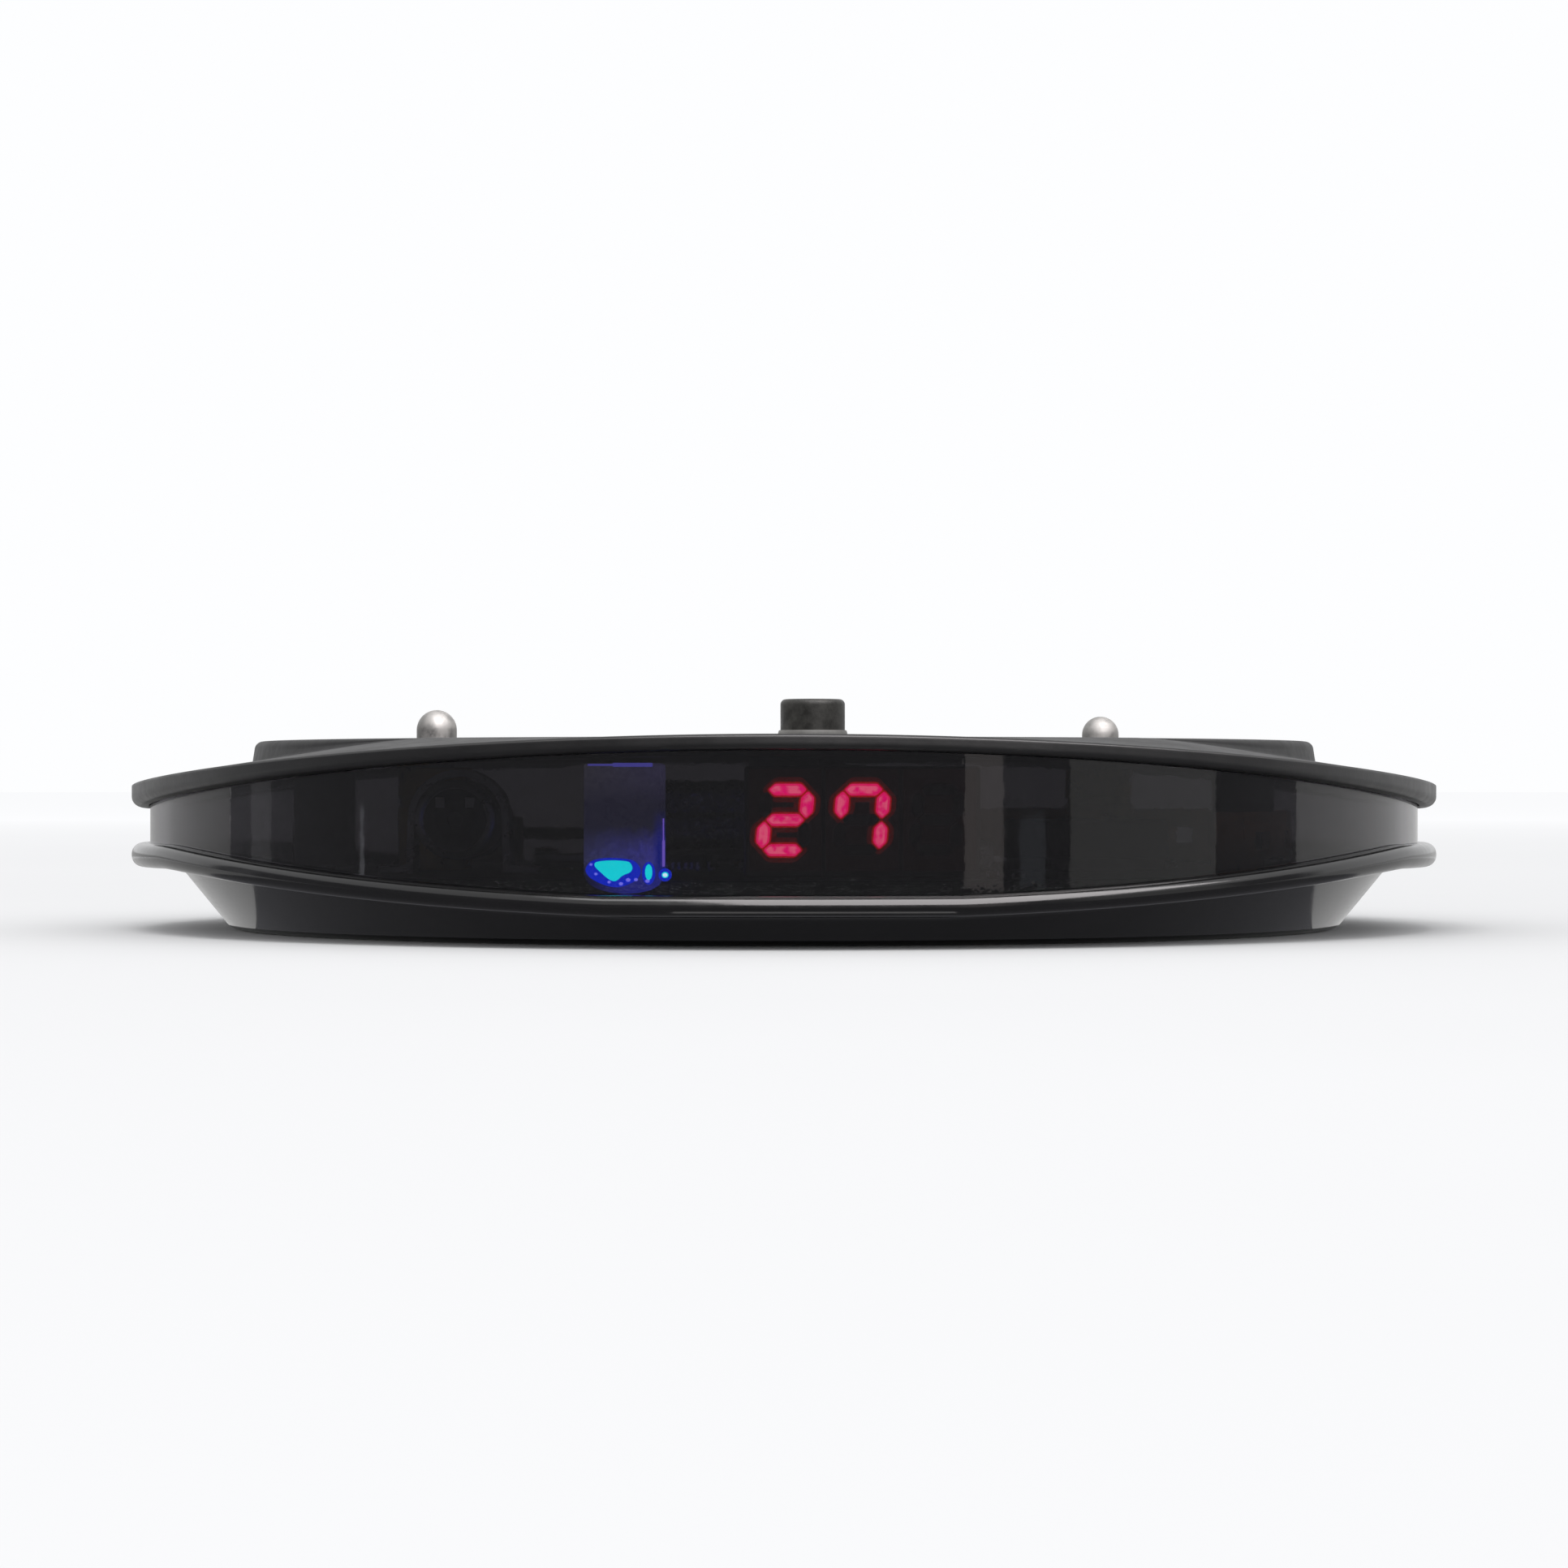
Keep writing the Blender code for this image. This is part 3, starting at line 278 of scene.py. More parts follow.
def circuit_mask(name):
    """Green solder mask over bundles of tracks and plain copper areas, with bare plated spots."""
    skin = Surface(name, (0.01, 0.07, 0.03), 0.35)
    zone = skin.add("SeparateColor", {0: skin.cells(8.0, "CHEBYCHEV")["Color"]}).outputs
    bundles = []
    for turn in (0.0, math.pi / 2):
        turned = skin.add("Mapping", {"Vector": skin.place, "Rotation": (0.0, 0.0, turn)})
        tracks = {"Vector": turned.outputs[0], "Scale": 1.0 / MM, "Mortar Size": 0.1,
                  "Mortar Smooth": 0.2, "Brick Width": 8.0, "Row Height": 0.75}
        bundles.append(skin.add("TexBrick", tracks).outputs["Fac"])
    chosen = skin.math("LESS_THAN", zone[0], 0.5)
    others = skin.math("SUBTRACT", 1.0, chosen)
    line = skin.plus(skin.times(chosen, bundles[0]), skin.times(others, bundles[1]))
    line = skin.math("MAXIMUM", line, skin.math("LESS_THAN", zone[1], 0.3))
    cloth = skin.noise(0.5)
    tone = skin.blend(cloth, (0.008, 0.055, 0.024), (0.014, 0.085, 0.036))
    tone = skin.mix(line, tone, (0.025, 0.13, 0.05))
    plated = skin.specks(2.0, 0.22, 0.3)
    tone = skin.mix(plated, tone, (0.72, 0.62, 0.36))
    skin.set(skin.shader.inputs["Metallic"], skin.times(plated, 0.9))
    weave = skin.bump(cloth, 0.004)
    return skin.use(tone, skin.spread(cloth, 0.28, 0.42), skin.bump(line, 0.03, weave))


def foam_sponge(name):
    skin = Surface(name, (0.05, 0.05, 0.055), 0.95)
    cells = skin.cells(0.35)["Distance"]
    # Painted shade: the colour is darker in the pits at the middle of the cells and lighter on
    # their walls.
    depth = skin.spread(cells, 0.0, 1.0, 0.1, 0.7)
    tone = skin.mix(depth, (0.02, 0.02, 0.022), (0.09, 0.09, 0.095))
    return skin.use(tone, skin.spread(cells, 0.85, 1.0, 0.1, 0.7), skin.bump(cells, 0.12))


def creased_foil(name, colour):
    """Laminated pouch foil with soft creases."""
    skin = Surface(name, colour, 0.32, 0.85)
    creases = skin.noise(2.6, 5.0, 0.75)
    # Painted shade and sheen: the foil is darker in the hollows of its creases and lighter on
    # their ridges.
    tone = skin.blend(creases, shade(colour, 0.86), shade(colour, 1.1))
    return skin.use(tone, skin.spread(skin.noise(0.3), 0.24, 0.4), skin.bump(creases, 0.12))


def lit_epoxy(name, colour, strength, deep=None):
    """Light out of cast epoxy, a little cloudy on its face, with deeper spots if asked for."""
    skin = Surface(name, shade(colour, 0.4), 0.4, glow=(colour, strength))
    cloud = skin.noise(0.25, 3.0, 0.6)
    if deep:
        spots = skin.spread(skin.noise(0.55), 0.0, 1.0, 0.46, 0.62)
        skin.set(skin.shader.inputs["Emission Color"], skin.mix(spots, colour, deep))
    tone = skin.blend(cloud, shade(colour, 0.3), shade(colour, 0.5))
    return skin.use(tone, skin.spread(cloud, 0.32, 0.5), skin.bump(cloud, 0.002))


# ---------------------------------------------------------------- shapes

def rounded(start, corner, end, steps=6):
    """Points of the elliptical arc from start to end that would meet at the corner."""
    start, corner, end = Vector(start), Vector(corner), Vector(end)
    middle = start + end - corner
    turns = [math.pi / 2 * step / steps for step in range(steps + 1)]
    return [tuple(middle + (start - middle) * math.cos(t) + (end - middle) * math.sin(t))
            for t in turns]


def soft_corners(corners, cut=None, steps=4):
    """Outline with each corner rounded over a length of cut, or from halfway if none is given."""
    corners = [Vector(corner) for corner in corners]
    points = []
    for index, corner in enumerate(corners):
        before, after = corners[index - 1] - corner, corners[(index + 1) % len(corners)] - corner
        if cut is None:
            points += rounded(corner + before / 2, corner, corner + after / 2, steps)[:-1]
        else:
            points += rounded(corner + before.normalized() * cut, corner,
                              corner + after.normalized() * cut, steps)
    return points


def arc(radius, first, last, step):
    """Points round the origin, from the first angle to the last, in degrees."""
    turns = [math.radians(angle) for angle in range(first, last, step)]
    return [(radius * math.cos(turn), radius * math.sin(turn)) for turn in turns]


def supported(profile):
    """The profile with a point added close to each end of its long stretches."""
    points = [profile[0]]
    for first, second in zip(profile, profile[1:]):
        step = Vector(second) - Vector(first)
        if step.length > LONG_STRETCH:
            near = step.normalized() * SUPPORT
            points += [tuple(Vector(first) + near), tuple(Vector(second) - near)]
        points.append(second)
    return points


def add_points(shape, points):
    return [shape.verts.new(Vector(point) * MM) for point in points]


def add_grid(shape, rows, material=0, close_rows=True, close_columns=False):
    """Quads between rows of points."""
    verts = [add_points(shape, row) for row in rows]
    for first, second in zip(verts, verts[1:] + (verts[:1] if close_rows else [])):
        for index in range(len(first) if close_columns else len(first) - 1):
            after = (index + 1) % len(first)
            face = shape.faces.new((first[index], second[index], second[after], first[after]))
            face.material_index = material


def add_lathe(shape, profile, centre, steps=64, material=0, axis="Z", ring=False):
    """Profile of (radius, height) turned about centre's axis. A ring closes on itself."""
    if axis == "Y":
        foot, lean = Vector((centre[0], 0.0, centre[2])), Matrix.Rotation(-math.pi / 2, 3, "X")
    else:
        foot, lean = Vector((centre[0], centre[1], 0.0)), Matrix.Identity(3)
    points = profile if ring else supported(profile)
    rows = []
    for step in range(steps):
        cosine, sine = math.cos(TURN * step / steps), math.sin(TURN * step / steps)
        rows.append([foot + lean @ Vector((radius * cosine, radius * sine, height))
                     for radius, height in points])
    add_grid(shape, rows, material, True, ring)


def add_posts(shape, places, radius, bottom, top, steps=48, flare=0.0):
    """Upright cylinders, wider by flare at their top ends, for drilling and for bosses."""
    end = [(radius, top - flare), (radius + flare, top)] if flare else [(radius, top)]
    for place in places:
        add_lathe(shape, [(0.0, bottom), (radius, bottom), *end, (0.0, top)], place, steps)


def bevel(shape, edges, width, segments):
    """Round the edges, each taken once and in a fixed order, so that every run is alike."""
    if width:
        bmesh.ops.bevel(shape, geom=list(dict.fromkeys(edges)), offset=width * MM,
                        segments=segments, affect="EDGES", profile=0.5)


def add_block(shape, low, high, rounding=0.1, segments=2, material=0, turn=0.0):
    """Box between two corners with rounded edges, turned about its own upright axis."""
    before = set(shape.faces)
    low, high = Vector(low) * MM, Vector(high) * MM
    place = Matrix.Translation((low + high) / 2) @ Matrix.Rotation(turn, 4, "Z")
    place = place @ Matrix.Diagonal((*(high - low), 1.0))
    corners = bmesh.ops.create_cube(shape, size=1.0, matrix=place)["verts"]
    bevel(shape, [edge for corner in corners for edge in corner.link_edges], rounding, segments)
    for face in set(shape.faces) - before:
        face.material_index = material


def add_prism(shape, outline, push, rounding, segments):
    """Flat outline of points pushed along a vector, with the edges of both faces rounded."""
    near = add_points(shape, outline)
    far = add_points(shape, [Vector(point) + Vector(push) for point in outline])
    caps = [shape.faces.new(near), shape.faces.new(list(reversed(far)))]
    for index in range(len(near)):
        after = (index + 1) % len(near)
        shape.faces.new((near[index], far[index], far[after], near[after]))
    bevel(shape, [edge for cap in caps for edge in cap.edges], rounding, segments)


def add_layers(shape, loops, materials):
    """Skin through loops of points from back to front, closed by a flat cap at each end."""
    loops = [add_points(shape, loop) for loop in loops]
    shape.faces.new(loops[0]).material_index = materials[0]
    for back, front, material in zip(loops, loops[1:], materials):
        for index in range(len(back)):
            after = (index + 1) % len(back)
            face = shape.faces.new((back[index], back[after], front[after], front[index]))
            face.material_index = material
    shape.faces.new(list(reversed(loops[-1]))).material_index = materials[-1]


def add_tube(shape, points, radius, sides):
    """Round wire through points, with flat ends."""
    points = [Vector(point) for point in points]
    side = (points[1] - points[0]).orthogonal().normalized()
    rows = []
    for index, point in enumerate(points):
        ahead = points[min(index + 1, len(points) - 1)] - points[max(index - 1, 0)]
        ahead.normalize()
        side = (side - ahead * side.dot(ahead)).normalized()
        up = ahead.cross(side)
        turns = [TURN * k / sides for k in range(sides)]
        rows.append([point + (side * math.cos(turn) + up * math.sin(turn)) * radius
                     for turn in turns])
    rows = [[points[0]] * sides] + rows + [[points[-1]] * sides]
    add_grid(shape, rows, 0, False, True)


def mesh_from(name, shape, materials, smooth=CORNER_ANGLE):
    """Mesh of a shape, smooth except at corners sharper than smooth degrees."""
    bmesh.ops.remove_doubles(shape, verts=shape.verts, dist=1e-7)
    bmesh.ops.recalc_face_normals(shape, faces=shape.faces)
    mesh = bpy.data.meshes.new(name)
    shape.to_mesh(mesh)
    shape.free()
    for material in materials:
        mesh.materials.append(material)
    mesh.shade_smooth()
    mesh.set_sharp_from_angle(angle=math.radians(smooth))
    return mesh


def add_object(name, mesh):
    item = bpy.data.objects.new(name, mesh)
    bpy.context.scene.collection.objects.link(item)
    return item


def carved(mesh, tool_shape, operation="DIFFERENCE", smooth=CORNER_ANGLE):
    """A new mesh: this one cut by, or joined with, closed shapes."""
    body = add_object("carving", mesh)
    tool = add_object("tool", mesh_from("tool", tool_shape, mesh.materials))
    cut = body.modifiers.new("cut", "BOOLEAN")
    cut.operation = operation
    cut.solver = "EXACT"
    cut.object = tool
    bpy.context.view_layer.update()
    evaluated = body.evaluated_get(bpy.context.evaluated_depsgraph_get())
    result = bpy.data.meshes.new_from_object(evaluated)
    result.name = mesh.name
    for item in (body, tool):
        bpy.data.objects.remove(item, do_unlink=True)
    result.shade_smooth()
    result.set_sharp_from_angle(angle=math.radians(smooth))
    return result


def show(name, mesh, nodes, body="case"):
    """Put a mesh in the scene as a piece that stands for CAD nodes of one body."""
    piece = add_object(name, mesh)
    even = piece.modifiers.new("even_normals", "WEIGHTED_NORMAL")
    even.keep_sharp = True
    even.weight = 80
    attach(piece, body)
    if nodes:
        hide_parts(*nodes)
    return piece


def show_shape(name, shape, materials, node, body="case", cuts=None):
    """Put a shape in the scene as the piece that stands for one CAD node, after cutting it."""
    mesh = mesh_from(name, shape, materials)
    if cuts:
        mesh = carved(mesh, cuts)
    return show(name, mesh, [node], body)


def show_turned(name, profile, centre, steps, material, node, body="case"):
    shape = bmesh.new()
    add_lathe(shape, profile, centre, steps)
    show_shape(name, shape, [material], node, body)


# ---------------------------------------------------------------- case
# facing is 1 at the front and the back of the pager, and 0 at its left and right.

def upper_crest(facing):
    return 11.8 + 3.7 * facing ** 1.8


def upper_lip_bottom(facing):
    return upper_crest(facing) - (1.95 - 0.81 * facing)


def lower_crest(facing):
    share = min(1.0, max(0.0, (facing - 0.4) / 0.57))
    return 7.1 - 3.2 * share ** 1.35


def lower_lip_bottom(facing):
    return lower_crest(facing) - (1.95 - 0.45 * facing ** 2)


def deck_foot(facing):
    return min(DECK_HEIGHT, 12.65 + 4.0 * facing ** 1.6)


def saddle_height(radius, facing):
    share = (radius - DECK_FOOT_RADIUS) / (RIM_RADIUS - 0.8 - DECK_FOOT_RADIUS)
    return deck_foot(facing) + (upper_crest(facing) - deck_foot(facing)) * share


def cone_radius(height):
    return FOOT_RADIUS + CONE_SLOPE * height


def upper_case_profile(facing):
    crest, bottom, foot = upper_crest(facing), upper_lip_bottom(facing), deck_foot(facing)
    wall = DECK_HEIGHT - foot
    edge = min(DECK_EDGE_ROUND, wall / 2)
    under = 0.42 * (crest - bottom)
    inner, outer = LENS_INNER_RADIUS - SLOT_GAP, LENS_OUTER_RADIUS + SLOT_GAP
    fillet_end = DECK_FOOT_RADIUS + 0.5
    return [
        (0.0, DECK_HEIGHT),
        *rounded((DECK_RADIUS - DECK_EDGE_ROUND, DECK_HEIGHT), (DECK_RADIUS, DECK_HEIGHT),
                 (DECK_RADIUS, DECK_HEIGHT - edge)),
        *rounded((DECK_RADIUS + 0.2, foot + 0.25 * wall), (DECK_RADIUS + 0.45, foot),
                 (fillet_end, saddle_height(fillet_end, facing)), 5),
        *rounded((RIM_RADIUS - 0.5, crest), (RIM_RADIUS, crest), (RIM_RADIUS, crest - 0.22), 7),
        *rounded((RIM_RADIUS, bottom + under), (RIM_RADIUS, bottom),
                 (RIM_RADIUS - under, bottom), 7),
        (outer + 0.1, bottom),
        (outer, bottom + 0.1),
        (outer, bottom + SLOT_DEPTH),
        (inner, bottom + SLOT_DEPTH),
        (inner - 0.3, saddle_height(inner, facing) - SADDLE_THICKNESS),
        (DECK_FOOT_RADIUS + 0.4, foot - SADDLE_THICKNESS),
        (DECK_RADIUS - 1.4, DECK_HEIGHT - ROOF_THICKNESS),
        (0.0, DECK_HEIGHT - ROOF_THICKNESS),
    ]


def lower_case_profile(facing):
    crest, bottom = lower_crest(facing), lower_lip_bottom(facing)
    slot_floor = crest - SLOT_DEPTH
    shoulder = max(bottom - 0.6, FLOOR_THICKNESS + 0.1)
    under = 0.45 * (crest - bottom)
    outer = LENS_OUTER_RADIUS + SLOT_GAP
    return [
        (0.0, 0.0),
        *rounded((FOOT_RADIUS - 0.6, 0.0), (FOOT_RADIUS, 0.0), (cone_radius(0.45), 0.45), 5),
        *rounded((cone_radius(bottom - 0.5), bottom - 0.5), (cone_radius(bottom), bottom),
                 (cone_radius(bottom) + 0.9, bottom), 5),
        *rounded((RIM_RADIUS - under, bottom), (RIM_RADIUS, bottom),
                 (RIM_RADIUS, bottom + under), 7),
        *rounded((RIM_RADIUS, crest - 0.9), (RIM_RADIUS, crest), (RIM_RADIUS - 0.9, crest), 10),
        (outer + 0.08, crest),
        (outer, crest - 0.08),
        (outer, slot_floor),
        (LENS_INNER_RADIUS - 0.4, slot_floor),
        (cone_radius(bottom) - 0.9, slot_floor),
        (cone_radius(shoulder) - 1.8, shoulder),
        (FOOT_RADIUS - 0.65, FLOOR_THICKNESS),
        (0.0, FLOOR_THICKNESS),
    ]


def lens_profile(facing):
    bottom, top = lower_crest(facing) - LENS_SEAT, upper_lip_bottom(facing) + LENS_SEAT
    inner, outer = LENS_INNER_RADIUS, LENS_OUTER_RADIUS
    points = soft_corners([(inner, bottom), (outer, bottom), (outer, top), (inner, top)], 0.15, 3)
    return points + points[:1]


def around_case(name, profile_at, materials):
    """Skin through the profiles at every angle. Long stretches get a loop close to each end."""
    samples = [profile_at(facing) for facing in (0.0, 0.5, 1.0)]
    is_long = [any((Vector(sample[index + 1]) - Vector(sample[index])).length > LONG_STRETCH
                   for sample in samples) for index in range(len(samples[0]) - 1)]
    rows = []
    for step in range(CASE_STEPS):
        cosine, sine = math.cos(TURN * step / CASE_STEPS), math.sin(TURN * step / CASE_STEPS)
        profile = profile_at(abs(sine))
        points = [profile[0]]
        for first, second, extra in zip(profile, profile[1:], is_long):
            if extra:
                stretch = Vector(second) - Vector(first)
                near = stretch * min(0.3, SUPPORT / max(stretch.length, 1e-9))
                points += [tuple(Vector(first) + near), tuple(Vector(second) - near)]
            points.append(second)
        rows.append([(radius * cosine, radius * sine, height) for radius, height in points])
    shape = bmesh.new()
    add_grid(shape, rows)
    return mesh_from(name, shape, materials)


def repaint(mesh, is_second):
    """Give the second material to the faces whose radius, height and facing ask for it."""
    for face in mesh.polygons:
        middle = face.center / MM
        radius = middle.xy.length
        facing = abs(middle.y) / max(radius, 1e-6)
        face.material_index = int(is_second(radius, middle.z, facing))


def is_deck(radius, height, facing):
    """The deck and the saddle, down to the front of the lip."""
    return height > upper_crest(facing) - 0.3 and radius < RIM_RADIUS - 0.04


def is_cone(radius, height, facing):
    """The underside, and the cone below the lower lip."""
    outside = radius > cone_radius(height) - 0.4 or height < 0.01
    return outside and height < lower_lip_bottom(facing) - 0.12


def make_upper_case():
    plastic = shell_plastic("satin_black_shell", (0.0075, 0.0072, 0.0078), 0.42, 0.006, 0.25)
    dull = shell_plastic("matt_black_deck", (0.0085, 0.0082, 0.0088), 0.5, 0.006, 0.3,
                         Specular_IOR_Level=0.22)
    mesh = around_case("upper_case", upper_case_profile, [plastic, dull])
    bosses = bmesh.new()
    add_posts(bosses, SCREW_PLACES, 2.6, SEAT, DECK_HEIGHT - ROOF_THICKNESS / 2)
    mesh = carved(mesh, bosses, "UNION")
    holes = bmesh.new()
    add_posts(holes, SCREW_PLACES, 1.1, SEAT - 1.0, 11.5)
    under, over = DECK_HEIGHT - 2.0, DECK_HEIGHT + 0.15
    add_posts(holes, PIN_PLACES.values(), 1.8, under, over, 64, 0.4)
    add_posts(holes, [POST_PLACE], 2.8, under, over, 64, 0.35)
    mesh = carved(mesh, holes)
    repaint(mesh, is_deck)
    show("upper_case", mesh, ["top_shell"])


def make_lower_case():
    satin = shell_plastic("satin_black_lip", (0.006, 0.0058, 0.0062), 0.16, 0.002, 0.1)
    polished = polished_plastic("polished_black_cone", (0.0085, 0.0082, 0.0088), 0.11)
    mesh = around_case("lower_case", lower_case_profile, [satin, polished])
    bosses = bmesh.new()
    add_posts(bosses, SCREW_PLACES, 3.6, FLOOR_THICKNESS / 2, BOARD_LOW.z - 0.3)
    add_posts(bosses, [POST_PLACE], 4.6, FLOOR_THICKNESS / 2, 6.0, 64)
    mesh = carved(mesh, bosses, "UNION")
    holes = bmesh.new()
    add_posts(holes, SCREW_PLACES, 2.3, -1.0, 1.6)
    add_posts(holes, PIN_PLACES.values(), 2.8, -1.0, 1.3, 64)
    add_posts(holes, [POST_PLACE], 3.1, -1.0, 4.6, 64)
    low, high = box("underside_label")
    margin = 0.25
    add_block(holes, (low.x - margin, low.y - margin, -1.0),
              (high.x + margin, high.y + margin, 0.45), 0)
    mesh = carved(mesh, holes)
    shafts = bmesh.new()
    add_posts(shafts, SCREW_PLACES, 1.2, 0.8, BOARD_HIGH.z)
    add_posts(shafts, PIN_PLACES.values(), 1.15, 0.6, BOARD_HIGH.z)
    mesh = carved(mesh, shafts)
    repaint(mesh, is_cone)
    show("lower_case", mesh, ["bottom_shell"])


def make_lens():
    glass = smoked_glass("smoked_lens_glass", (0.1, 0.096, 0.104))
    mesh = around_case("smoked_lens", lens_profile, [glass])
    show("smoked_lens", mesh, ["lens_band"])


def make_stacking_post():
    plastic = detailed("post_black_plastic", (0.047, 0.0455, 0.042), 0.42, grain=0.2, depth=0.012,
                       patch=1.3, mottle=0.4, scuff=0.25, Specular_IOR_Level=0.16)
    nylon = detailed("post_ring_nylon", (0.19, 0.185, 0.175), 0.55, patch=1.5,
                     Specular_IOR_Level=0.2)
    low, high = box("locating_post")
    radius, ring_radius, flange_radius = 2.7, 2.95, 4.5
    top, dimple, edge = high.z, high.z - 0.3, 0.45
    flange_top = DECK_HEIGHT - ROOF_THICKNESS - 0.3
    profile = [
        (0.0, dimple),
        *rounded((0.9, dimple), (1.1, dimple), (1.15, top), 3),
        *rounded((radius - edge, top), (radius, top), (radius, top - edge), 6),
        (radius, flange_top), (flange_radius, flange_top), (flange_radius, low.z), (0.0, low.z),
    ]
    shape = bmesh.new()
    add_lathe(shape, profile, POST_PLACE, 96)
    ring_low, ring_top = DECK_HEIGHT + 0.06, DECK_HEIGHT + 1.0
    ring = [
        (radius + 0.005, ring_low),
        *rounded((ring_radius, ring_low), (ring_radius, ring_top), (radius + 0.1, ring_top), 4),
        (radius + 0.005, ring_top),
    ]
    add_lathe(shape, ring, POST_PLACE, 96, 1, ring=True)
    show_shape("stacking_post", shape, [plastic, nylon], "locating_post")


def make_contacts():
    for side, centre in PIN_PLACES.items():
        make_pin(side, centre)
        make_barrel(side, centre)
        make_spring(side, centre)
        make_pad(side, centre)


def make_pin(side, centre):
    nickel = turned_metal(side + "_pin_nickel", (0.3, 0.295, 0.285), 0.54, centre)
    low, high = box(side + "_contact_pin")
    radius, collar, edge, groove = 1.6, 2.1, 0.08, 0.06
    dome_foot, collar_top = high.z - radius, low.z + 1.0
    profile = [
        *rounded((0.0, high.z), (radius, high.z), (radius, dome_foot), 14),
        (radius, dome_foot - 0.9), (radius - groove, dome_foot - 1.0),
        (radius - groove, dome_foot - 1.15), (radius, dome_foot - 1.25),
        (radius, collar_top), (collar - edge, collar_top), (collar, collar_top - edge),
        (collar, low.z + edge), (collar - edge, low.z), (0.0, low.z),
    ]
    show_turned(side + "_pin_tip", profile, centre, 72, nickel, side + "_contact_pin",
                side + "_pin")


def make_barrel(side, centre):
    brass = turned_metal(side + "_barrel_brass", (0.68, 0.5, 0.22), 0.32, centre)
    low, high = box(side + "_contact_barrel")
    outer, bore, mouth = 2.9, 2.4, 1.95
    edge, groove, top = 0.12, 0.15, high.z
    profile = [
        (0.0, low.z + 0.6), (bore, low.z + 0.6), (bore, top - 0.8), (mouth, top - 0.8),
        (mouth, top - edge), (mouth + edge, top), (outer - edge, top), (outer, top - edge),
        (outer, top - 2.4), (outer - groove, top - 2.55), (outer - groove, top - 3.0),
        (outer, top - 3.15), (outer, low.z + edge), (outer - edge, low.z), (0.0, low.z),
    ]
    show_turned(side + "_barrel_shell", profile, centre, 64, brass, side + "_contact_barrel")


def make_spring(side, centre):
    wire = turned_metal(side + "_spring_steel", (0.5, 0.5, 0.51), 0.28, centre)
    node = side + "_contact_spring"
    low, high = box(node)
    wire_radius, radius = 0.18, 1.7
    turns, per_turn = 4.5, 28
    lowest, highest = low.z + wire_radius, high.z - wire_radius
    count = round(turns * per_turn)
    points = []
    for index in range(count + 1):
        wound = turns * index / count
        lift = min(1.0, max(0.0, (wound - 0.6) / (turns - 1.2)))   # closed coils at both ends
        flat = max(0.0, wire_radius * (wound - lift * turns))
        height = lowest + (highest - lowest - 0.35) * lift + flat
        turn = TURN * index / per_turn
        points.append((centre.x + radius * math.cos(turn), centre.y + radius * math.sin(turn),
                       min(highest, height)))
    shape = bmesh.new()
    add_tube(shape, points, wire_radius, 10)
    piece = show_shape(side + "_spring_coil", shape, [wire], node)
    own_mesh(piece)


def make_pad(side, centre):
    gold = turned_metal(side + "_pad_gold", (0.8, 0.62, 0.32), 0.27, centre)
    low, high = box(side + "_contact_pad")
    radius, stem, edge, plate_top = 2.4, 0.9, 0.12, low.z + 0.5
    profile = [
        (0.0, low.z),
        (radius * 0.62, low.z), (radius * 0.66, low.z + 0.06), (radius * 0.72, low.z),
        *rounded((radius - edge, low.z), (radius, low.z), (radius, low.z + edge), 4),
        (radius, plate_top), (stem, plate_top), (stem, high.z - edge), (stem - edge, high.z),
        (0.0, high.z),
    ]
    show_turned(side + "_pad_plate", profile, centre, 64, gold, side + "_contact_pad")


def make_screws():
    steel = detailed("screw_steel", (0.4, 0.4, 0.41), 0.3, 1.0, grain=0.12, depth=0.002, patch=1.0)
    low, high = box(SCREWS[0])
    first = SCREW_PLACES[0]
    head, shank, pitch = 1.9, 1.0, 0.6
    head_top = low.z + 0.8
    profile = [(0.0, low.z), *rounded((head * 0.55, low.z), (head, low.z), (head, low.z + 0.4), 6),
               (head, head_top), (shank, head_top)]
    height = head_top + 0.4
    while height < high.z - 0.9:
        profile += [(shank * 0.8, height), (shank, height + pitch / 2)]
        height += pitch
    profile += [(shank * 0.8, height), (shank * 0.35, high.z), (0.0, high.z)]
    shape = bmesh.new()
    add_lathe(shape, profile, first, 40)
    mesh = mesh_from("screw", shape, [steel])
    for x, y in ((1.15, 0.24), (0.24, 1.15)):
        slot = bmesh.new()
        add_block(slot, (first.x - x, first.y - y, low.z - 0.3),
                  (first.x + x, first.y + y, low.z + 0.42), 0)
        mesh = carved(mesh, slot)
    for screw, place in zip(SCREWS, SCREW_PLACES):
        copy = mesh.copy()
        copy.transform(Matrix.Translation((place - first) * MM))
        show(screw + "_cross_head", copy, [screw])


# ---------------------------------------------------------------- display, guide and lamps

DIGIT_SLANT = math.tan(math.radians(5.0))
DIGIT_SPINE = 4.38
DIGIT_SPAN = 2.95
DIGIT_SHIFT = 0.1                     # how much closer than its CAD place each next digit stands
LEVEL_SEGMENT_WIDTH = 0.86
UPRIGHT_SEGMENT_WIDTH = 0.95
SEGMENT_BREAK = 0.1
SEGMENTS = {                          # each segment's ends, in half spans and half spines
    "a": ((-1, 1), (1, 1)), "b": ((1, 1), (1, 0)), "c": ((1, 0), (1, -1)),
    "d": ((-1, -1), (1, -1)), "e": ((-1, -1), (-1, 0)), "f": ((-1, 0), (-1, 1)),
    "g": ((-1, 0), (1, 0)),
}
LIT = {"digit_1": "abged", "digit_2": "fabc", "digit_3": ""}


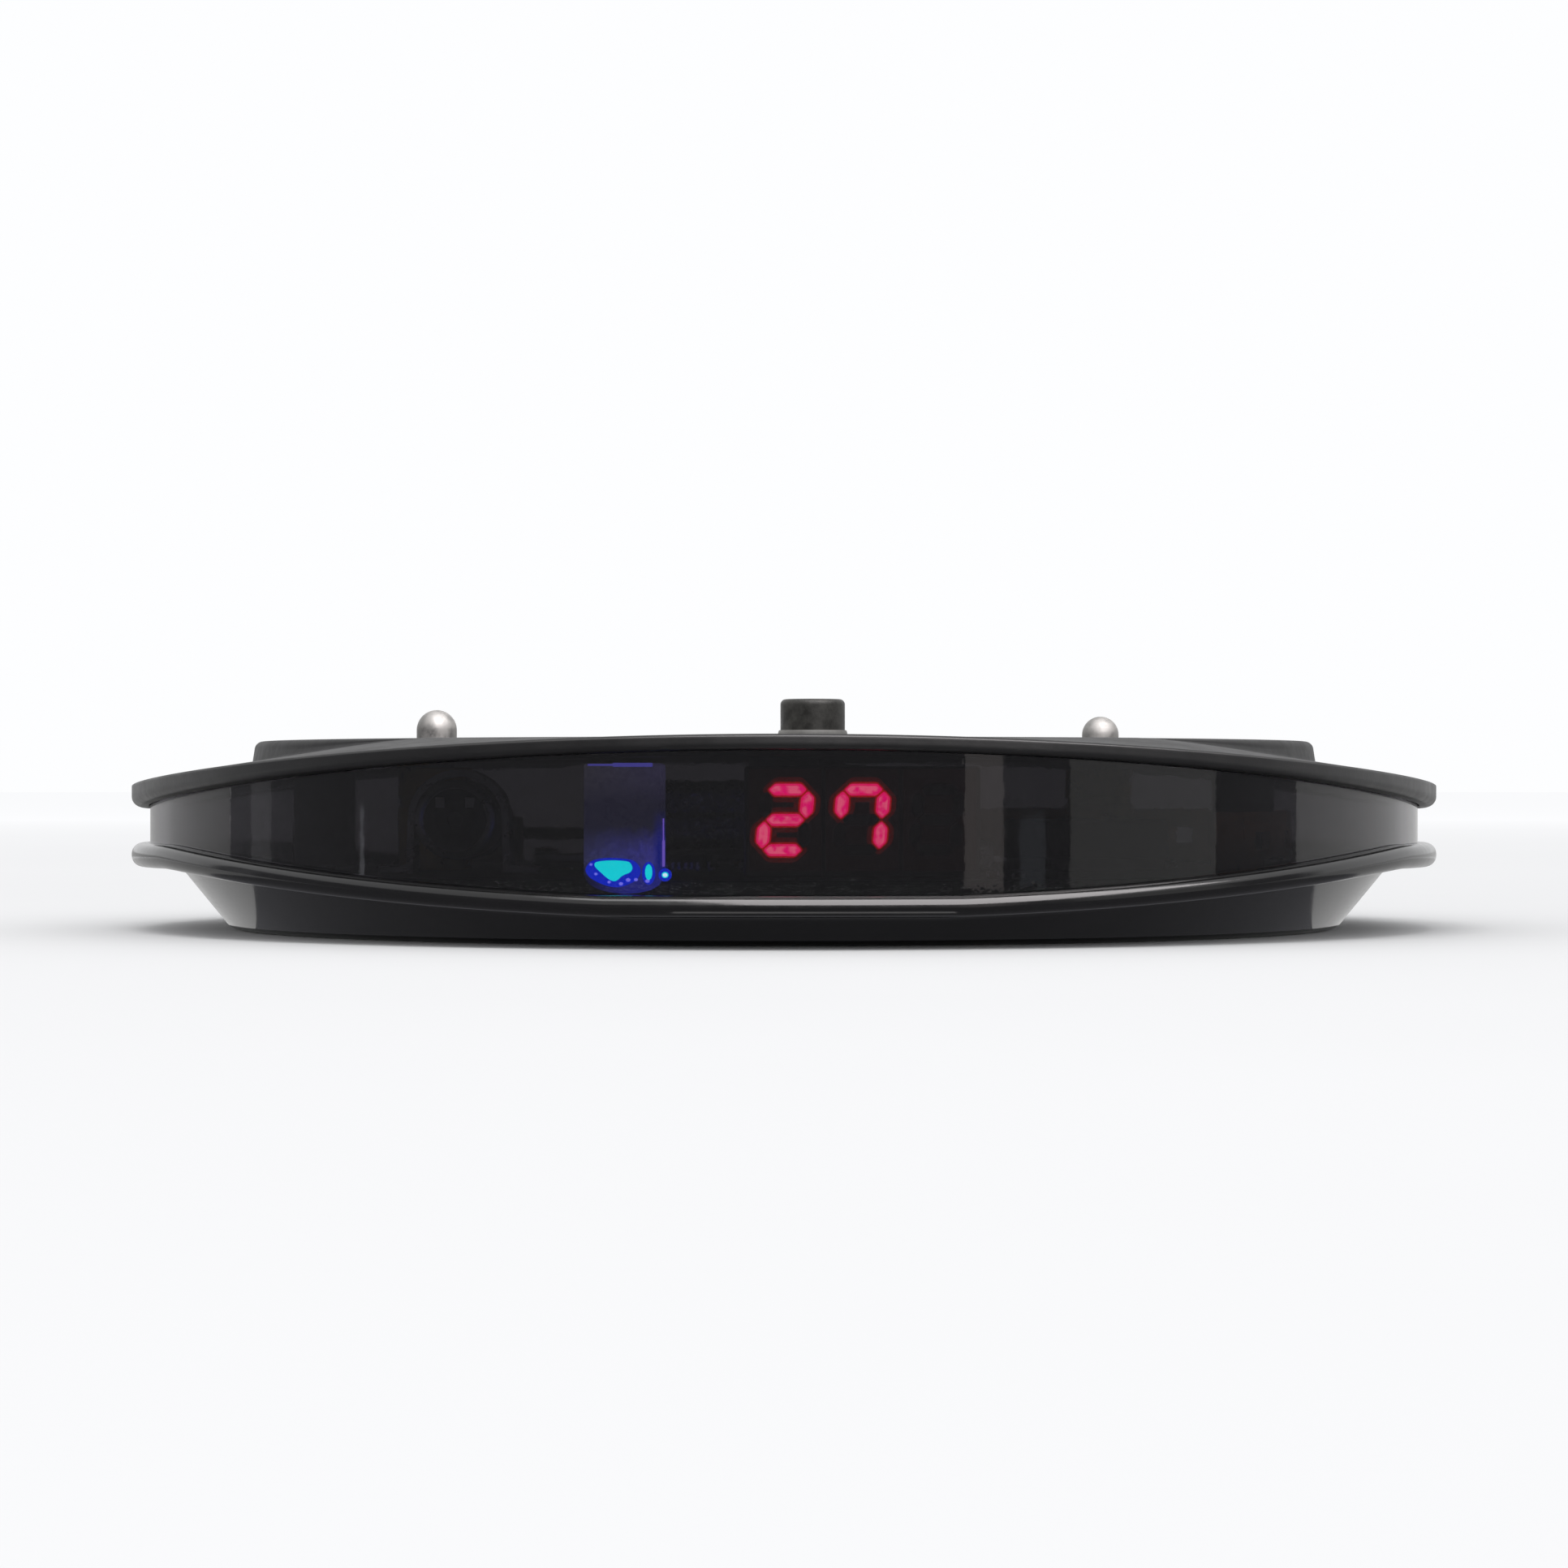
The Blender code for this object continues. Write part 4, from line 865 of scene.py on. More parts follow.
def segment_outline(name, grow):
    """Long hexagon of one segment with softened corners, as (x, z) about the digit's middle."""
    first, last = [Vector((x * DIGIT_SPAN / 2, z * DIGIT_SPINE / 2)) for x, z in SEGMENTS[name]]
    along = (last - first).normalized()
    half = (UPRIGHT_SEGMENT_WIDTH if along.x == 0 else LEVEL_SEGMENT_WIDTH) / 2 + grow
    inset = along * (SEGMENT_BREAK - grow * 1.1)
    first, last = first + inset, last - inset
    across, tip = Vector((-along.y, along.x)) * half, along * half
    return soft_corners([first, first + tip + across, last - tip + across,
                         last, last - tip - across, first + tip - across], 0.3 * half, 3)


def make_digits():
    # The plate's faint red emission is painted glow: the segments' red light as the epoxy would
    # scatter it.
    plate = detailed("digit_plate_epoxy_painted_glow", (0.012, 0.009, 0.01), 0.42, grain=0.15, depth=0.004,
                     glow=((1.0, 0.0, 0.02), 0.012))
    dim = detailed("unlit_segment_epoxy", (0.05, 0.018, 0.02), 0.3, grain=0.2, depth=0.003)
    haze = lit_epoxy("segment_far_glow", (1.0, 0.0, 0.0), 0.16)
    halo = lit_epoxy("segment_edge_glow", (1.0, 0.0, 0.01), 1.9)
    lit = lit_epoxy("segment_red_light", (1.0, 0.012, 0.15), 5.6, (1.0, 0.0, 0.13))
    hot = lit_epoxy("segment_middle_light", (1.0, 0.115, 0.23), 6.3, (0.95, 0.0, 0.17))
    for number, (node, lit_names) in enumerate(LIT.items()):
        low, high = box(node)
        back, front = high.y - 0.3, low.y
        middle = (low + high) / 2
        left = middle.x - number * DIGIT_SHIFT
        shape = bmesh.new()
        add_block(shape, (low.x, back, low.z), high, 0.08)
        # A stack is its layers, as (growth of the outline, y) from the back, and their materials
        unlit_stacks = [([(0.0, back - 0.005), (0.0, front + 0.06), (-0.04, front)], [1, 1, 1])]
        lit_stacks = [
            ([(0.48, back - 0.005), (0.48, back - 0.03)], [5, 5]),
            ([(0.13, back - 0.035), (0.13, back - 0.055)], [2, 2]),
            ([(0.0, back - 0.06), (0.0, front + 0.06), (-0.04, front + 0.02),
              (-0.16, front + 0.01), (-0.16, front)], [2, 3, 3, 4, 4]),
        ]
        for name in SEGMENTS:
            for layers, materials in lit_stacks if name in lit_names else unlit_stacks:
                loops = [[(left + x + DIGIT_SLANT * z, y, middle.z + z)
                          for x, z in segment_outline(name, grow)] for grow, y in layers]
                add_layers(shape, loops, materials)
        show_shape(node + "_face", shape, [plate, dim, halo, lit, hot, haze], node)


def make_display_module():
    grey = detailed("display_body_grey", (0.035, 0.035, 0.038), 0.45, grain=0.2, depth=0.005)
    fill = detailed("display_back_resin", (0.12, 0.12, 0.11), 0.3, grain=0.5, depth=0.01)
    low, high = box("display_module")
    resin, inset = 0.35, 0.6
    shape = bmesh.new()
    add_block(shape, low, (high.x, high.y - resin, high.z), 0.25, 3)
    add_block(shape, (low.x + inset, high.y - resin + 0.01, low.z + inset),
              (high.x - inset, high.y, high.z - inset), 0.1, 2, 1)
    slots = bmesh.new()
    for index in (1, 2):
        x = low.x + (high.x - low.x) * index / 3
        add_block(slots, (x - 0.12, low.y - 1.0, low.z - 1.0),
                  (x + 0.12, low.y + 0.25, high.z + 1.0), 0)
    show_shape("display_body", shape, [grey, fill], "display_module", cuts=slots)


def make_header():
    black = detailed("header_strip_nylon", (0.02, 0.02, 0.021), 0.5)
    gold = detailed("header_pin_gold", (0.75, 0.56, 0.25), 0.28, 1.0, grain=0.1, depth=0.001,
                    patch=1.0)
    low, high = box("display_header")
    middle = (low + high) / 2
    count, pitch, strip, half_pin = 11, 1.4, 1.4, 0.25
    shape = bmesh.new()
    for index in range(count):
        x = middle.x + pitch * (index - (count - 1) / 2)
        add_block(shape, (x - 0.68, low.y, low.z), (x + 0.68, high.y, low.z + strip), 0.12, 2)
        add_block(shape, (x - half_pin, middle.y - half_pin, low.z + strip + 0.01),
                  (x + half_pin, middle.y + half_pin, high.z), 0.07, 2, 1)
    show_shape("display_pin_strip", shape, [black, gold], "display_header")


def frosted_guide(low, high):
    """Cloudy acrylic that carries light: bluest near the lamp at its foot, greyer above."""
    skin = Surface("frosted_acrylic", (0.12, 0.12, 0.14), 0.3, Transmission_Weight=0.2, IOR=1.49)

    def zone(value, start, end):
        """0 up to start and 1 from end on, in mm, or the other way round if end comes first."""
        if start < end:
            return skin.spread(value, 0.0, 1.0, start * MM, end * MM)
        return skin.spread(value, 1.0, 0.0, end * MM, start * MM)

    x, _, z = skin.add("SeparateXYZ", {0: skin.place}).outputs
    haze = skin.noise(1.3, 4.0, 0.65)
    fine = skin.noise(0.4, 3.0, 0.6)
    height = skin.plus(z, skin.times(skin.math("SUBTRACT", haze, 0.5), 1.6 * MM))
    across = zone(x, low.x, high.x)
    top = skin.mix(across, (0.19, 0.185, 0.24), (0.18, 0.16, 0.36))
    foot = skin.mix(across, (0.2, 0.22, 0.62), (0.28, 0.26, 1.9))
    glow = skin.mix(zone(height, low.z + 5.2, high.z - 1.0), (0.07, 0.07, 0.15), top)
    glow = skin.mix(zone(height, low.z + 3.7, low.z + 1.8), glow, foot)
    glow = skin.mix(skin.spread(fine, 0.45, 0.0), glow, (0.04, 0.03, 0.12))
    beside = skin.times(zone(x, high.x - 0.8, high.x - 0.3), zone(z, low.z + 5.0, low.z + 2.2))
    glow = skin.mix(beside, glow, (0.0, 0.03, 1.1))
    end = skin.mix(zone(x, low.x + 0.2, low.x + 3.2), (0.0, 0.0, 0.1), (0.08, 0.1, 1.25))
    glow = skin.mix(zone(height, low.z + 1.2, low.z - 0.2), glow, end)
    skin.set(skin.shader.inputs["Emission Color"], glow)
    skin.set(skin.shader.inputs["Emission Strength"], 1.0)
    tone = skin.blend(haze, (0.1, 0.1, 0.12), (0.15, 0.15, 0.17))
    return skin.use(tone, skin.spread(haze, 0.2, 0.42), skin.bump(haze, 0.02))


def add_glow(shape, outline, place, bulge, material):
    """Patch of light on the guide's face: an outline about place, which bulges towards -Y."""
    loops = [[(place[0] + x * share, place[1] - bulge * lift, place[2] + z * share)
              for x, z in outline] for share, lift in ((1.0, 0.0), (0.93, 0.7), (0.8, 1.0))]
    add_layers(shape, loops, [material] * 3)


def oval(width, height):
    return [(width / 2 * x, height / 2 * y) for x, y in arc(1.0, 0, 360, 15)]


def make_light_guide():
    low, high = box("light_guide")
    lights = [lit_epoxy(*row) for row in (
        ("guide_edge_light", (0.2, 0.18, 1.0), 2.0),
        ("guide_side_light", (0.3, 0.18, 1.0), 3.8),
        ("lamp_blue_light", (0.0, 0.03, 1.0), 4.0),
        ("lamp_cyan_light", (0.0, 0.94, 0.98), 6.4),
        ("lamp_white_light", (0.62, 0.86, 1.0), 9.0),
        ("lamp_violet_light", (0.2, 0.2, 1.0), 7.0),
    )]
    edge, side, blue, cyan, white, violet = range(1, 7)
    shape = bmesh.new()
    add_block(shape, low, high, 0.25, 3)
    lip = soft_corners([(low.x, low.z + 1.0), (low.x + 0.2, low.z - 1.1),
                        (high.x - 0.1, low.z - 1.25), (high.x, low.z + 1.0)])
    add_prism(shape, [(x, low.y, z) for x, z in lip], (0.0, 0.35, 0.0), 0.06, 1)
    face = low.y - 0.02
    for x0, x1, z0, z1, lift, glow in (
            (0.3, 4.9, 8.12, 8.26, 0.0, edge), (2.1, 4.95, 8.05, 8.33, 0.01, edge),
            (5.68, 5.78, 1.0, 4.3, 0.0, side), (5.64, 5.84, 0.8, 2.7, 0.01, side)):
        add_block(shape, (low.x + x0, face - 0.05 - lift, low.z + z0),
                  (low.x + x1, face - lift, low.z + z1), 0.02, 1, glow)
    halo = soft_corners([(-1.95, 0.35), (-1.2, 0.92), (0.9, 0.88), (1.85, 0.62), (2.15, -0.45),
                         (1.0, -1.15), (0.0, -1.3), (-1.2, -0.85), (-1.95, -0.3)])
    core = soft_corners([(-1.5, 0.45), (-0.9, 0.72), (0.9, 0.72), (1.4, 0.5), (1.45, -0.15),
                         (0.65, -0.35), (0.3, -0.85), (-0.25, -0.72), (-0.8, -0.2)])
    lamp, second, dot = (2.08, 0.54), (4.67, 0.32), (high.x - low.x + 0.15, 0.2)
    patches = [       # outline, place on the face, lift off it, bulge and material
        (halo, lamp, 0.0, 0.05, blue), (core, lamp, 0.06, 0.05, cyan),
        (oval(0.95, 1.65), second, 0.01, 0.05, blue),
        (oval(0.52, 1.15), (second[0], second[1] + 0.08), 0.07, 0.05, cyan),
        (oval(0.95, 0.95), dot, 0.02, 0.05, blue), (oval(0.5, 0.45), dot, 0.08, 0.05, cyan),
        (oval(0.34, 0.28), dot, 0.14, 0.03, white),
    ]
    for x, z, size in ((-1.55, 0.42, 0.22), (-1.2, -0.27, 0.24), (-0.25, -0.85, 0.24),
                       (0.6, -0.98, 0.3), (1.12, -0.7, 0.34), (1.68, -0.68, 0.28),
                       (2.5, -0.78, 0.32)):
        speck = (lamp[0] + x, lamp[1] + z)
        patches.append((oval(size, size * 0.8), speck, 0.08, 0.03, violet))
    for outline, (x, z), lift, bulge, material in patches:
        add_glow(shape, outline, (low.x + x, face - lift, low.z + z), bulge, material)
    show_shape("glowing_guide", shape, [frosted_guide(low, high), *lights], "light_guide")


def add_lamp(shape, low, high):
    """Flat lamp package: white body with a sunk window, and a metal foot at each end."""
    middle = (low + high) / 2
    top, glass = high.z - 0.02, high.z - 0.2
    add_block(shape, low + Vector((0.12, 0.0, 0.1)), high - Vector((0.12, 0.0, 0.22)), 0.08)
    radius = min(high.x - low.x, high.y - low.y) * 0.36
    window = rounded((0.0, top), (radius, top), (radius, glass), 5) + [(0.0, glass)]
    add_lathe(shape, window, middle, 28, 1)
    for end in (-1, 1):
        x = middle.x + end * ((high.x - low.x) / 2 - 0.16)
        add_block(shape, (x - 0.15, low.y + 0.2, low.z), (x + 0.15, high.y - 0.2, low.z + 0.09),
                  0.02, 1, 2)


def make_lamps():
    white = detailed("lamp_body_white", (0.62, 0.58, 0.5), 0.4, grain=0.15, depth=0.003, patch=1.0)
    tin = detailed("lamp_foot_tin", (0.6, 0.6, 0.6), 0.3, 1.0, grain=0.1, depth=0.002, patch=1.0)
    glow = lit_epoxy("blue_lamp_window", (0.05, 0.35, 1.0), 3.0)
    red = detailed("alert_lamp_window", (0.3, 0.03, 0.03), 0.22, grain=0.2, depth=0.002, patch=1.0)
    shape = bmesh.new()
    add_lamp(shape, *box("blue_lamp"))
    show_shape("blue_lamp_package", shape, [white, glow, tin], "blue_lamp")
    half = Vector((1.0, 0.8, 0.0))
    for number in range(1, 7):
        node = "alert_lamp_%d" % number
        low, high = box(node)
        middle = (low + high) / 2
        shape = bmesh.new()
        add_lamp(shape, Vector((0, 0, low.z)) - half, Vector((0, 0, high.z)) + half)
        turn = math.atan2(middle.y, middle.x) + math.pi / 2
        place = Matrix.Translation(Vector((middle.x, middle.y, 0.0)) * MM)
        shape.transform(place @ Matrix.Rotation(turn, 4, "Z"))
        show_shape(node + "_package", shape, [white, red, tin], node)


# ---------------------------------------------------------------- motor

def make_motor():
    steel = detailed("motor_can_steel", (0.56, 0.56, 0.57), 0.3, 1.0, grain=0.12, depth=0.0015,
                     patch=2.0, stretch=(1.0, 0.15, 1.0))
    cap = detailed("motor_cap_nylon", (0.035, 0.033, 0.035), 0.42)
    low, high = box("motor_can")
    centre = (low + high) / 2
    radius = (high.x - low.x) / 2
    edge, groove, lip = 0.3, radius - 0.12, low.y + 0.12
    body = [
        (0.0, low.y + 0.5), (radius * 0.8, low.y + 0.5), (radius * 0.8, lip),
        *rounded((radius * 0.86, low.y), (radius, low.y), (radius, low.y + edge), 4),
        (radius, low.y + 1.6), (groove, low.y + 1.75),
        (groove, low.y + 2.0), (radius, low.y + 2.15),
        *rounded((radius, high.y - edge), (radius, high.y), (radius - edge, high.y), 4),
        (1.0, high.y), (1.0, high.y - edge), (0.0, high.y - edge),
    ]
    lid = [
        (0.0, lip + 0.2), (0.55, lip + 0.2), (0.6, lip), (radius * 0.5, lip),
        (radius * 0.55, lip + 0.08), (radius * 0.74, lip + 0.08), (radius * 0.78, lip + 0.14),
        (radius * 0.78, low.y + 0.49), (0.0, low.y + 0.49),
    ]
    shape = bmesh.new()
    add_lathe(shape, body, centre, 72, 0, "Y")
    add_lathe(shape, lid, centre, 72, 1, "Y")
    for side in (-1, 1):
        x = centre.x + side * 1.1
        add_block(shape, (x - 0.35, low.y + 0.02, centre.z + 0.9),
                  (x + 0.35, lip + 0.05, centre.z + 1.7), 0.04, 1)
    show_shape("motor_can_shell", shape, [steel, cap], "motor_can")
    make_rotor(centre)
    make_clip(steel, centre.z)


def make_rotor(centre):
    steel = detailed("motor_shaft_steel", (0.62, 0.62, 0.63), 0.22, 1.0, grain=0.08, depth=0.001,
                     patch=1.0, stretch=(1.0, 4.0, 1.0))
    tungsten = detailed("weight_sintered_tungsten", (0.3, 0.29, 0.28), 0.42, 1.0, grain=0.1,
                        depth=0.006, patch=1.0)
    low, high = box("motor_shaft")
    radius, tip = (high.x - low.x) / 2, 0.12
    shape = bmesh.new()
    add_lathe(shape, [(0.0, low.y), (radius, low.y), (radius, high.y - tip),
                      (radius - tip, high.y), (0.0, high.y)], centre, 32, 0, "Y")
    show_shape("motor_shaft_rod", shape, [steel], "motor_shaft", body="motor_rotor")
    low, high = box("eccentric_weight")
    rim, hub, bore_radius = 3.2, 1.6, 0.62
    outline = arc(rim, 197, 344, 7) + arc(hub, -10, 191, 10)
    shape = bmesh.new()
    add_prism(shape, [(centre.x + x, low.y, centre.z + z) for x, z in outline],
              (0, high.y - low.y, 0), 0.15, 2)
    bore = bmesh.new()
    add_lathe(bore, [(0.0, low.y - 1.0), (bore_radius, low.y - 1.0), (bore_radius, high.y + 1.0),
                     (0.0, high.y + 1.0)], centre, 32, 0, "Y")
    show_shape("swinging_weight", shape, [tungsten], "eccentric_weight", body="motor_rotor",
               cuts=bore)


def make_clip(steel, axis_height):
    low, high = box("motor_clip")
    middle = (low + high) / 2
    inner, outer = 3.3, 3.8
    foot = low.z - axis_height
    ledge = foot + 0.5
    reach = (high.x - low.x) / 2
    outline = [
        (reach, foot), (reach, ledge),
        *rounded((outer + 0.4, ledge), (outer, ledge), (outer, ledge + 0.4), 3),
        *arc(outer, 0, 181, 9),
        *rounded((-outer, ledge + 0.4), (-outer, ledge), (-outer - 0.4, ledge), 3),
        (-reach, ledge), (-reach, foot), (-inner, foot),
        *arc(inner, 180, -1, -9),
        (inner, foot),
    ]
    shape = bmesh.new()
    add_prism(shape, [(middle.x + x, low.y, axis_height + z) for x, z in outline],
              (0, high.y - low.y, 0), 0.1, 1)
    show_shape("motor_spring_clip", shape, [steel], "motor_clip")


# ---------------------------------------------------------------- board and what stands on it

def make_board():
    radius, edge = (BOARD_HIGH.x - BOARD_LOW.x) / 2, 0.1
    bottom, top = BOARD_LOW.z, BOARD_HIGH.z
    profile = [(0.0, bottom), (radius - edge, bottom), (radius, bottom + edge),
               (radius, top - edge), (radius - edge, top), (0.0, top)]
    shape = bmesh.new()
    add_lathe(shape, profile, (0.0, 0.0), 180)
    holes = bmesh.new()
    add_posts(holes, SCREW_PLACES, 1.3, bottom - 1.0, top + 1.0, 32)
    add_posts(holes, [POST_PLACE], 5.2, bottom - 1.0, top + 1.0, 64)
    show_shape("green_board", shape, [circuit_mask("circuit_board_mask")], "circuit_board",
               cuts=holes)


def add_gull_leads(shape, low, high, pitch, material):
    """Bent leads along all four sides of a flat package."""
    middle, half = (low + high) / 2, (high - low) / 2
    for side in range(4):
        turn = Matrix.Rotation(side * math.pi / 2, 3, "Z")
        reach, span = (half.x, half.y) if side % 2 == 0 else (half.y, half.x)
        count = int((2 * span - 1.6) / pitch)
        for index in range(count):
            along = pitch * (index - (count - 1) / 2)
            for x0, x1, z0, z1 in ((0.85, 0.45, 0.5, 0.62), (0.5, 0.38, 0.05, 0.56),
                                   (0.42, 0.0, 0.0, 0.12)):
                first = turn @ Vector((reach - x0, along - 0.11, 0))
                second = turn @ Vector((reach - x1, along + 0.11, 0))
                xs, ys = sorted((first.x, second.x)), sorted((first.y, second.y))
                add_block(shape, (middle.x + xs[0], middle.y + ys[0], low.z + z0),
                          (middle.x + xs[1], middle.y + ys[1], low.z + z1), 0, 1, material)


def make_chips():
    epoxy = detailed("chip_epoxy", (0.018, 0.018, 0.019), 0.5, grain=0.12, depth=0.005, patch=2.0)
    tin = detailed("chip_lead_tin", (0.62, 0.62, 0.62), 0.28, 1.0, grain=0.08, depth=0.001,
                   patch=1.0)
    for node, pitch in (("microcontroller", 0.5), ("charge_regulator", 0.95)):
        low, high = box(node)
        shape = bmesh.new()
        add_block(shape, low + Vector((0.8, 0.8, 0.1)), high - Vector((0.8, 0.8, 0.0)), 0.12)
        add_gull_leads(shape, low, high, pitch, 1)
        dimple = bmesh.new()
        add_posts(dimple, [(low.x + 1.6, high.y - 1.6)], 0.28, high.z - 0.08, high.z + 1.0, 24)
        show_shape(node + "_package", shape, [epoxy, tin], node, cuts=dimple)
    make_small_parts(tin)


def make_small_parts(tin):
    """Chip resistors and capacitors in short rows between the larger pieces."""
    ceramic = detailed("capacitor_ceramic", (0.32, 0.2, 0.1), 0.4, grain=0.1, depth=0.002,
                       patch=1.0)
    film = detailed("resistor_film", (0.015, 0.015, 0.018), 0.3, grain=0.1, depth=0.002, patch=1.0)
    draw = random.Random(27)
    spacing, end_cap = 1.9, 0.2
    rows = ((-3.0, -9.5, 6), (-2.5, -12.0, 5), (16.0, 6.0, 5), (16.0, 9.0, 6), (-33.0, -6.0, 4),
            (-6.0, 9.5, 5), (4.0, -14.0, 4), (27.0, 2.0, 4), (-20.0, -2.0, 4), (10.0, -35.0, 5),
            (-34.0, 16.0, 3))         # first part's x and y, and how many
    shape = bmesh.new()
    for x, y, count in rows:
        for index in range(count):
            kind = 2 if draw.random() < 0.5 else 1
            size = Vector((1.0, 0.5, 0.35 if kind == 2 else 0.5))
            low = Vector((x + spacing * index - size.x / 2, y - size.y / 2, BOARD_HIGH.z + 0.02))
            inner = Vector((0.22, 0.0, 0.0))
            add_block(shape, low + inner, low + size - inner, 0.02, 1, kind)
            for end in (low, low + Vector((size.x - end_cap, 0, 0))):
                add_block(shape, end, end + Vector((end_cap, size.y, size.z)), 0.03, 1)
    mesh = mesh_from("board_small_parts", shape, [tin, ceramic, film])
    show("board_small_parts", mesh, [])


def make_shield():
    tin = detailed("shield_tin", (0.6, 0.6, 0.59), 0.28, 1.0, grain=0.15, depth=0.002, patch=3.0,
                   stretch=(1.0, 0.2, 1.0))
    low, high = box("radio_shield")
    size = high - low
    shape = bmesh.new()
    add_block(shape, low, high, 0.35, 4)
    holes = [(low.x + size.x * (column + 1.5) / 7, low.y + size.y * (row + 1.5) / 5)
             for column in range(5) for row in range(3)]
    cuts = bmesh.new()
    add_posts(cuts, holes, 0.5, high.z - 0.35, high.z + 1.0, 24)
    for column in range(6):
        x = low.x + size.x * (column + 1) / 7
        for y in (low.y, high.y):
            add_block(cuts, (x - 0.4, y - 0.2, low.z - 1.0), (x + 0.4, y + 0.2, low.z + 0.5), 0)
    show_shape("radio_can", shape, [tin], "radio_shield", cuts=cuts)


def make_crystal():
    nickel = detailed("crystal_can_nickel", (0.66, 0.65, 0.62), 0.24, 1.0, grain=0.1, depth=0.001)
    base = detailed("crystal_base_ceramic", (0.05, 0.05, 0.05), 0.5)
    low, high = box("crystal")
    shape = bmesh.new()
    add_block(shape, low, (high.x, high.y, low.z + 0.35), 0.08, 2, 1)
    add_block(shape, low + Vector((0.2, 0.2, 0.36)), high - Vector((0.2, 0.2, 0.0)), 0.25, 4)
    show_shape("crystal_can", shape, [nickel, base], "crystal")


def make_battery():
    low, high = box("battery_foam")
    shape = bmesh.new()
    add_block(shape, low, high, 0.2, 3)
    show_shape("foam_cushion", shape, [foam_sponge("foam_sponge")], "battery_foam")
    foil = creased_foil("battery_pouch_foil", (0.6, 0.62, 0.65))
    tape = detailed("battery_amber_tape", (0.5, 0.24, 0.03), 0.25, grain=0.6, depth=0.01)
    low, high = box("battery_cell")
    cap, overlap, seam_lift = 2.2, 0.8, 0.02
    shape = bmesh.new()
    add_block(shape, (low.x + cap, low.y, low.z), high, 1.1, 5)
    inset = Vector((0.0, 0.5, 0.7))
    cap_high = Vector((low.x + cap + overlap, high.y, high.z))
    add_block(shape, low + inset, cap_high - inset, 0.3, 3, 1)
    seam = (low.z + high.z) / 2
    for y in (low.y, high.y - seam_lift):
        add_block(shape, (low.x + cap + 1.0, y, seam - 0.25),
                  (high.x - 1.0, y + seam_lift, seam + 0.25), 0)
    show_shape("pouch_battery", shape, [foil, tape], "battery_cell")


def make_socket():
    ivory = detailed("connector_nylon", (0.66, 0.62, 0.5), 0.42, grain=0.2, depth=0.004, patch=2.0)
    low, high = box("battery_connector")
    shape = bmesh.new()
    add_block(shape, low, high, 0.18, 3)
    cuts = bmesh.new()
    add_block(cuts, (low.x + 0.6, low.y + 2.2, high.z - 1.1),
              (high.x - 0.6, high.y - 1.2, high.z + 1.0), 0)
    for x in (low.x, high.x):
        add_block(cuts, (x - 0.25, low.y + 1.2, low.z - 1.0),
                  (x + 0.25, low.y + 2.0, high.z + 1.0), 0)
    show_shape("battery_socket", shape, [ivory], "battery_connector", cuts=cuts)


def make_leads():
    battery_low, battery_high = box("battery_cell")
    plug_low, plug_high = box("battery_connector")
    for colour, tone, offset in (("red", (0.42, 0.012, 0.012), -1.0),
                                 ("black", (0.015, 0.015, 0.015), 1.0)):
        node = "battery_lead_" + colour
        sheath = detailed(colour + "_lead_sheath", tone, 0.36, grain=0.3, depth=0.004, patch=2.0)
        start = (battery_low.x - 0.3, (battery_low.y + battery_high.y) / 2 + 3.0 - offset)
        end = ((plug_low.x + plug_high.x) / 2 + offset, plug_high.y + 0.3)
        bend = rounded(start, (end[0], start[1]), end, 36)
        shape = bmesh.new()
        add_tube(shape, [(x, y, middle_of(node).z) for x, y in bend], 0.55, 16)
        show_shape(colour + "_lead", shape, [sheath], node)


def make_antenna():
    copper = detailed("antenna_copper", (0.62, 0.3, 0.16), 0.32, 1.0, grain=0.15, depth=0.002,
                      stretch=(1.0, 1.0, 0.2))
    low, high = box("antenna_strip")
    inner, outer, slot_radius = 41.62, 42.18, 41.9
    start, sweep, steps, slots = math.radians(-38), math.radians(104), 104, 8
    section = [(inner, low.z), (outer, low.z), (outer, high.z), (inner, high.z)]
    rows = []
    for step in range(steps + 1):
        turn = start + sweep * step / steps
        rows.append([Vector((r * math.cos(turn), r * math.sin(turn), z)) for r, z in section])
    ends = [[sum(row, Vector((0, 0, 0))) / 4] * 4 for row in (rows[0], rows[-1])]
    shape = bmesh.new()
    add_grid(shape, [ends[0], *rows, ends[1]], 0, False, True)
    mesh = mesh_from("copper_antenna", shape, [copper], 30)
    cuts = bmesh.new()
    reach = Vector((1.0, 1.6, 0.7))
    for index in range(slots):
        turn = start + sweep * (index + 1) / (slots + 1)
        middle = Vector((math.cos(turn) * slot_radius, math.sin(turn) * slot_radius,
                         (low.z + high.z) / 2))
        add_block(cuts, middle - reach, middle + reach, 0, turn=turn)
    show("copper_antenna", carved(mesh, cuts, smooth=30), ["antenna_strip"])


def make_buzzer():
    black = detailed("buzzer_case_nylon", (0.022, 0.022, 0.023), 0.45)
    low, high = box("buzzer")
    middle = (low + high) / 2
    radius, edge, top = (high.x - low.x) / 2, 0.4, high.z
    profile = [
        (0.0, top - 1.6), (1.0, top - 1.6), (1.0, top - 0.1), (1.1, top), (2.6, top),
        (2.7, top - 0.12), (3.0, top - 0.12), (3.1, top),
        *rounded((radius - edge, top), (radius, top), (radius, top - edge), 5),
        (radius, low.z + 1.0), (radius - 0.25, low.z + 0.9), (radius - 0.25, low.z), (0.0, low.z),
    ]
    show_turned("buzzer_can", profile, middle, 96, black, "buzzer")


